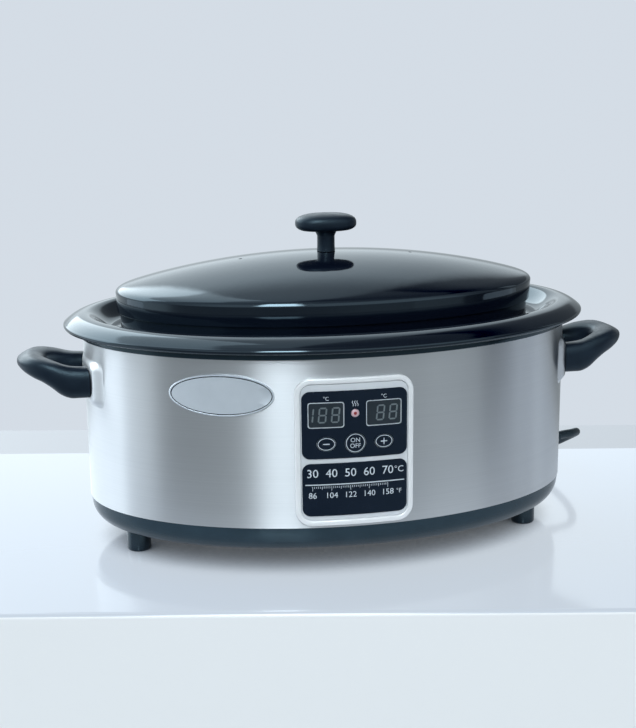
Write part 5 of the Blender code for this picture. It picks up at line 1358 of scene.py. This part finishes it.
def relief_profile():
    """Half section of the strain relief, from its inner end to its tip, with a groove at each pitch."""
    inner = -WALL_SHEET - RELIEF_NECK
    head = inner - RELIEF_HEAD
    profile = [(0, head), (RELIEF_ROOT_RADIUS, head), (RELIEF_ROOT_RADIUS, inner)]
    profile += [(RELIEF_NECK_RADIUS, inner), (RELIEF_NECK_RADIUS, GAP), (RELIEF_FLANGE_RADIUS - GAP, GAP)]
    top = GAP + RELIEF_FLANGE
    profile += arc((RELIEF_FLANGE_RADIUS - RELIEF_EDGE, top - RELIEF_EDGE), RELIEF_EDGE, 0, 90, 4)
    profile += [(RELIEF_ROOT_RADIUS, top)]
    for rib in range(int((RELIEF_LENGTH - top) / RELIEF_RIB_PITCH)):
        start = top + RELIEF_EDGE + rib * RELIEF_RIB_PITCH
        for share, depth in RELIEF_RIB:
            height = start + RELIEF_RIB_PITCH * share
            along = (height - top) / (RELIEF_LENGTH - top)
            radius = RELIEF_ROOT_RADIUS + (RELIEF_TIP_RADIUS - RELIEF_ROOT_RADIUS) * along
            profile.append((radius - RELIEF_RIB_DEPTH * depth * (1 - RELIEF_RIB_FADE * along), height))
    edge_radius, edge_height = RELIEF_TIP_EDGE
    profile += [(RELIEF_TIP_RADIUS, RELIEF_LENGTH - edge_height)]
    profile += [(RELIEF_TIP_RADIUS - edge_radius, RELIEF_LENGTH), (0, RELIEF_LENGTH)]
    return profile


def make_relief():
    wall, across = wall_frame(CORD_ANGLE, CORD_HEIGHT)
    mesh = turned(relief_profile(), 40)
    mesh.transform(Matrix.Translation(wall) @ across.to_track_quat("Z", "Y").to_matrix().to_4x4())
    return piece("relief", mesh, "cord_rubber", "strain_relief")


def make_tie():
    """A flat strap round the coil's turns."""
    low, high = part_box("cord_tie")
    middle_radius = COIL_MEAN_RADIUS + COIL_PITCH * COIL_TURNS / 4 - COIL_PITCH * (TIE_TURN + 0.5)
    half_height = (high.z - low.z) / 2
    half_width = COIL_PITCH / 2 + CORD_RADIUS + TIE_CLEARANCE + TIE_SHEET
    corner = CORD_RADIUS / 2 + TIE_SHEET
    rows = []
    for inset, level in ((0, -1), (0, 1), (TIE_SHEET, 1), (TIE_SHEET, -1)):
        outline = rounded_box(half_width - inset, half_height - inset, corner - inset)
        rows.append(row_at(outline, level * TIE_WIDTH / 2))
    mesh = loft(rows, closed=True)
    upright = Matrix(((1, 0, 0, 0), (0, 0, -1, 0), (0, 1, 0, 0), (0, 0, 0, 1)))
    lift = Matrix.Translation((middle_radius, 0, low.z + half_height))
    turn = Matrix.Rotation(COIL_START + 2 * math.pi * TIE_TURN, 4, "Z")
    mesh.transform(Matrix.Translation((*COIL_CENTRE, 0)) @ turn @ lift @ upright)
    return piece("tie", mesh, "cord_rubber", "cord_tie")


def row_across(outline, x):
    """An outline's points as a row for a loft, square to the plug's length."""
    return [(x, point.x, point.y) for point in outline]


def plug_row(x, half_width, half_height, corner):
    corner = min(corner, half_width - GAP, half_height - GAP)
    return row_across(rounded_box(half_width, half_height, corner, steps=6), x)


def plug_rows(half_height):
    """The plug's rows: a ribbed neck, a rounded shoulder, a ribbed grip that widens, and its front edge."""
    start = PLUG_NECK_LENGTH
    end = start + PLUG_LENGTH
    root = CORD_RADIUS + PLUG_NECK_GROWTH
    rows = [plug_row(0, root, root, 1)]
    for index in range(PLUG_NECK_STEPS):
        share = (index + 0.5) / PLUG_NECK_STEPS
        radius = root + (PLUG_NECK_RADIUS - root) * share - PLUG_NECK_GROOVE * (index % 2)
        rows.append(plug_row(start * share, radius, radius, 1))
    for step in range(PLUG_SHOULDER_STEPS + 1):
        angle = math.pi / 2 * step / PLUG_SHOULDER_STEPS
        x = start + PLUG_EDGE * (1 - math.cos(angle))
        grow = PLUG_NECK_RADIUS / half_height + (1 - PLUG_NECK_RADIUS / half_height) * math.sin(angle)
        rows.append(plug_row(x, PLUG_WIDTH / 2 * PLUG_TAPER_SHARE * grow, half_height * grow, PLUG_EDGE))
    first, last = PLUG_RIB_SHARES
    for step in range(1, PLUG_GRIP_STEPS + 1):
        share = step / PLUG_GRIP_STEPS
        half_width = PLUG_WIDTH / 2 * (PLUG_TAPER_SHARE + (1 - PLUG_TAPER_SHARE) * smooth_step(share))
        if first < share < last:
            wave = math.sin(2 * math.pi * PLUG_RIBS * (share - first) / (last - first))
            half_width -= PLUG_RIB_DEPTH * max(0.0, wave)
        x = start + PLUG_EDGE + (PLUG_LENGTH - 2 * PLUG_EDGE) * share
        rows.append(plug_row(x, half_width, half_height, PLUG_EDGE))
    for step in range(1, PLUG_FRONT_STEPS + 1):
        angle = math.pi / 2 * step / PLUG_FRONT_STEPS
        shrink = PLUG_EDGE * PLUG_FRONT_SHARE * (1 - math.cos(angle))
        x = end - PLUG_EDGE * (1 - math.sin(angle))
        rows.append(plug_row(x, PLUG_WIDTH / 2 - shrink, half_height - shrink, PLUG_EDGE))
    return rows


def make_plug(cord_end, along):
    """The plug with its two blades and its round pin, at the cord's end."""
    turn = along.to_track_quat("X", "Z").to_matrix().to_4x4()
    place = Matrix.Translation(cord_end + along * GAP) @ turn
    mesh = block(plug_rows(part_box("plug_body")[HIGH].z / 2))
    mesh.transform(place)
    pieces = [piece("plug", mesh, "cord_rubber", "plug_body")]
    end = PLUG_NECK_LENGTH + PLUG_LENGTH
    tip = end + BLADE_LENGTH
    for level, label in ((1, "upper"), (-1, "lower")):
        centre = (0, level * BLADE_PITCH / 2)
        rows = []
        for x, shrink in ((end - PIN_SINK, 0), (tip - BLADE_TIP, 0), (tip, BLADE_EDGE)):
            half_width = BLADE_WIDTH / 2 - shrink
            half_height = BLADE_THICKNESS / 2 - shrink * BLADE_EDGE_SHARE
            rows.append(row_across(rounded_box(half_width, half_height, BLADE_CORNER, centre, 3), x))
        mesh = block(rows)
        mesh.transform(place)
        pieces.append(piece(f"blade_{label}", mesh, "brass", f"plug_blade_{label}"))
    shoulder = EARTH_PIN_LENGTH - EARTH_PIN_RADIUS
    profile = [(0, -PIN_SINK), (EARTH_PIN_RADIUS, -PIN_SINK), (EARTH_PIN_RADIUS, shoulder)]
    profile += arc((0, shoulder), EARTH_PIN_RADIUS, 10, 80, 6) + [(0, EARTH_PIN_LENGTH)]
    mesh = turned(profile, 32)
    mesh.transform(Matrix.Rotation(math.pi / 2, 4, "Y"))
    mesh.transform(place @ Matrix.Translation((end, -EARTH_PIN_OFFSET, 0)))
    pieces.append(piece("earth_pin", mesh, "brass", "plug_earth_pin"))
    return pieces


def make_lead():
    line, exit_point, lead_out = cord_line()
    curve = bpy.data.curves.new("mains_lead", "CURVE")
    curve.dimensions = "3D"
    curve.bevel_depth = CORD_RADIUS
    curve.bevel_resolution = 4
    curve.use_fill_caps = True
    add_line(curve, line)
    item = link("mains_lead", curve)
    curve.materials.append(FINISHES["cord_rubber"])
    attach(item, "housing")
    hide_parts("power_cord", "cord_coil")
    goes_with = [make_relief(), make_tie()] + make_plug(line[-1], lead_out)


make_lead()


# CAD nodes that stay: each takes its record slot's finish

for subpart in frame["record"]["subparts"]:
    node = frame["nodes"].get(subpart["node"])
    if node is not None and not node.hide_render:
        node.data.materials.clear()
        node.data.materials.append(FINISHES[subpart["material_slot"]])


# Stage: a pale glossy table, square to the camera, and soft light from all round

TABLE_TURN = 0.1699
TABLE_FRONT = -0.180
TABLE_SEEN_BACK = 0.184
TABLE_MARGIN = 0.006
TABLE_HALF_WIDTH = 1.6
TABLE_THICKNESS = 0.30
TABLE_EDGE = 0.004


def table_back():
    """How far back the table reaches, square to its edge, to carry all that lies behind the body."""
    turn = Matrix.Rotation(TABLE_TURN, 3, "Z")
    points = [vert.co for node in frame["nodes"].values() for vert in node.data.vertices]
    return max((turn @ point).y for point in points) + TABLE_MARGIN


def make_table():
    back = table_back()
    section = [(back, 0), (TABLE_SEEN_BACK, 0)]
    centre = (TABLE_FRONT + TABLE_EDGE, -TABLE_EDGE)
    section += arc(centre, TABLE_EDGE, 90, 180, 6)
    section += [(TABLE_FRONT, -TABLE_THICKNESS), (back, -TABLE_THICKNESS)]
    rows = [[(x, y, z) for y, z in section] for x in (-TABLE_HALF_WIDTH, TABLE_HALF_WIDTH)]
    mesh = block(rows)
    mesh.transform(Matrix.Rotation(-TABLE_TURN, 4, "Z"))
    item = link("table", mesh)
    smooth(mesh)
    for finish in (TABLE_FINISH, TABLE_FRONT_FINISH, TABLE_BACK_FINISH):
        mesh.materials.append(finish)
    turn = Matrix.Rotation(TABLE_TURN, 3, "Z")
    for face in mesh.polygons:
        face.material_index = 0 if abs(face.normal.z) > 0.5 else 1
        if face.normal.z > 0.5 and (turn @ face.center).y > TABLE_SEEN_BACK:
            face.material_index = 2


def paint_shade_near(finish, strength, reach):
    """Paint shade on a surface: dim its own glow where something stands within reach of it."""
    node = nodes_of(finish).new("ShaderNodeAmbientOcclusion")
    node.samples = 16
    node.inputs["Distance"].default_value = reach
    feed(finish, spread(finish, node.outputs["AO"], 0, strength, AIR_SPREAD), "Emission Strength")


BACKDROP = (0.66, 0.72, 0.79, 1)
TABLE_LIGHT = 0.66
TABLE_SHADE_REACH = 0.046
# The shares of open air within that reach at which the table's glow is fully dimmed into painted shade and
# fully lit
AIR_SPREAD = (0.09, 0.56)
# The table top glows with its own light. That glow is dimmed under and around the heater into a painted
# shadow, where the table's dark bluish base colour shows
TABLE_FINISH = principled(
    "table_top", 0.12, Base_Color=(0.020, 0.045, 0.085, 1), Emission_Color=(0.83, 0.90, 0.96, 1))
paint_shade_near(TABLE_FINISH, TABLE_LIGHT, TABLE_SHADE_REACH)
TABLE_FRONT_FINISH = principled(
    "table_front", 0.35, Base_Color=(0.50, 0.50, 0.50, 1),
    Emission_Strength=0.34, Emission_Color=(0.86, 0.93, 1.0, 1))
TABLE_BACK_FINISH = principled(
    "table_back", 0.50, Base_Color=(0.05, 0.055, 0.06, 1), Emission_Strength=0.68, Emission_Color=BACKDROP)


# Light. Directions are in degrees: an azimuth from the back (+Y) towards +X, and an elevation
# Each field: brightness at azimuths round the horizon. They blend at the elevations that follow
LOW_FIELD = (
    (-180, 0.26), (-168, 0.22), (-158, 0.27), (-146, 0.23), (-128, 0.26), (-119, 0.28), (-112, 0.88),
    (-98, 1.00), (-80, 1.15), (-16, 0.95), (0, 0.90), (30, 0.40), (62, 0.26), (76, 0.42), (90, 0.22),
    (108, 0.12), (120, 0.20), (136, 0.32), (165, 0.34), (180, 0.22),
)
MIDDLE_FIELD = (
    (-180, 0.78), (-168, 0.60), (-156, 0.98), (-140, 0.92), (-122, 0.56), (-110, 0.62), (-90, 1.10),
    (-40, 1.50), (0, 2.00), (26, 1.15), (31, 0.42), (50, 0.46), (75, 0.45), (110, 0.16), (135, 1.00),
    (165, 1.00), (180, 0.95),
)
HIGH_FIELD = (
    (-180, 0.50), (-120, 0.50), (-70, 0.80), (0, 0.85), (26, 0.70), (31, 0.16), (70, 0.10), (120, 0.14),
    (180, 0.50),
)
LOW_TO_MIDDLE = (2, 10)
MIDDLE_TO_HIGH = (42, 60)
FIELD_TOP = 3.0
# Each lamp: azimuth, half width, elevation, half height, softness, brightness
LAMPS = (
    (-168, 8, 42, 20, 2, 14.0),
    (-50, 42, 31, 19, 1.5, 1.9),
    (-50, 42, 44, 32, 1.5, 1.1),
    (64, 34, 36, 22, 2, -0.25),
    (82, 6, 24, 10, 2, 0.6),
    (115, 8.5, 5, 25, 1, -0.11),
    (135, 11, 5, 25, 1, 0.10),
)
LIGHT_TINT = (0.84, 0.94, 1.0, 1)


def world_node(kind, **inputs):
    """A node of the world's shader. Inputs go by name, or by place as i0, i1 and so on."""
    tree = bpy.context.scene.world.node_tree
    node = tree.nodes.new(kind)
    for name, value in inputs.items():
        socket = node.inputs[int(name[1:])] if name[1:].isdigit() else node.inputs[name.replace("_", " ")]
        if isinstance(value, bpy.types.NodeSocket):
            tree.links.new(value, socket)
        else:
            socket.default_value = value
    return node


def calc(operation, first, second=0.0):
    node = world_node("ShaderNodeMath", i0=first, i1=second)
    node.operation = operation
    return node.outputs[0]


def ease(value, start, end):
    """From 0 at one value to 1 at another, with an eased start and end."""
    node = world_node("ShaderNodeMapRange", Value=value, From_Min=start, From_Max=end, To_Min=0, To_Max=1)
    node.interpolation_type = "SMOOTHSTEP"
    return node.outputs["Result"]


def azimuth_about(direction, centre):
    """Azimuth of a direction in degrees, counted from a centre."""
    turned_way = world_node("ShaderNodeVectorRotate", Vector=direction, Angle=math.radians(centre))
    turned_way.rotation_type = "Z_AXIS"
    axes = world_node("ShaderNodeSeparateXYZ", Vector=turned_way.outputs[0])
    return calc("MULTIPLY", calc("ARCTAN2", axes.outputs["X"], axes.outputs["Y"]), 180 / math.pi)


def field(azimuth, stops):
    """Brightness round the horizon, eased between stops."""
    place = calc("ADD", calc("DIVIDE", azimuth, 360), 0.5)
    ramp = world_node("ShaderNodeValToRGB", Fac=place)
    ramp.color_ramp.interpolation = "B_SPLINE"
    elements = ramp.color_ramp.elements
    while len(elements) < len(stops):
        elements.new(0.5)
    for element, (angle, value) in zip(elements, stops):
        element.position = angle / 360 + 0.5
        element.color = (value / FIELD_TOP, value / FIELD_TOP, value / FIELD_TOP, 1)
    return calc("MULTIPLY", ramp.outputs["Color"], FIELD_TOP)


def blend_by(share, low, high):
    return calc("ADD", low, calc("MULTIPLY", share, calc("SUBTRACT", high, low)))


def make_world():
    scene = bpy.context.scene
    scene.world = bpy.data.worlds.new("studio")
    scene.world.use_nodes = True
    tree = scene.world.node_tree
    direction = world_node("ShaderNodeTexCoord").outputs["Generated"]
    azimuth = azimuth_about(direction, 0)
    height = world_node("ShaderNodeSeparateXYZ", Vector=direction).outputs["Z"]
    elevation = calc("MULTIPLY", calc("ARCSINE", height), 180 / math.pi)
    light = field(azimuth, LOW_FIELD)
    for stops, rise in ((MIDDLE_FIELD, LOW_TO_MIDDLE), (HIGH_FIELD, MIDDLE_TO_HIGH)):
        light = blend_by(ease(elevation, *rise), light, field(azimuth, stops))
    for centre, half_width, level, half_height, softness, brightness in LAMPS:
        aside = calc("ABSOLUTE", azimuth_about(direction, centre))
        above = calc("ABSOLUTE", calc("SUBTRACT", elevation, level))
        lit = calc("MULTIPLY", ease(aside, half_width + softness, half_width - softness),
                   ease(above, half_height + softness, half_height - softness))
        light = calc("ADD", light, calc("MULTIPLY", lit, brightness))
    background = tree.nodes["Background"]
    background.inputs["Color"].default_value = LIGHT_TINT
    tree.links.new(light, background.inputs["Strength"])
    backdrop = world_node("ShaderNodeBackground", Color=BACKDROP)
    seen = world_node("ShaderNodeLightPath").outputs["Is Camera Ray"]
    mix = world_node("ShaderNodeMixShader", i0=seen, i1=background.outputs[0], i2=backdrop.outputs[0])
    tree.links.new(mix.outputs[0], tree.nodes["World Output"].inputs["Surface"])
    scene.view_settings.view_transform = "Standard"


make_table()
make_world()
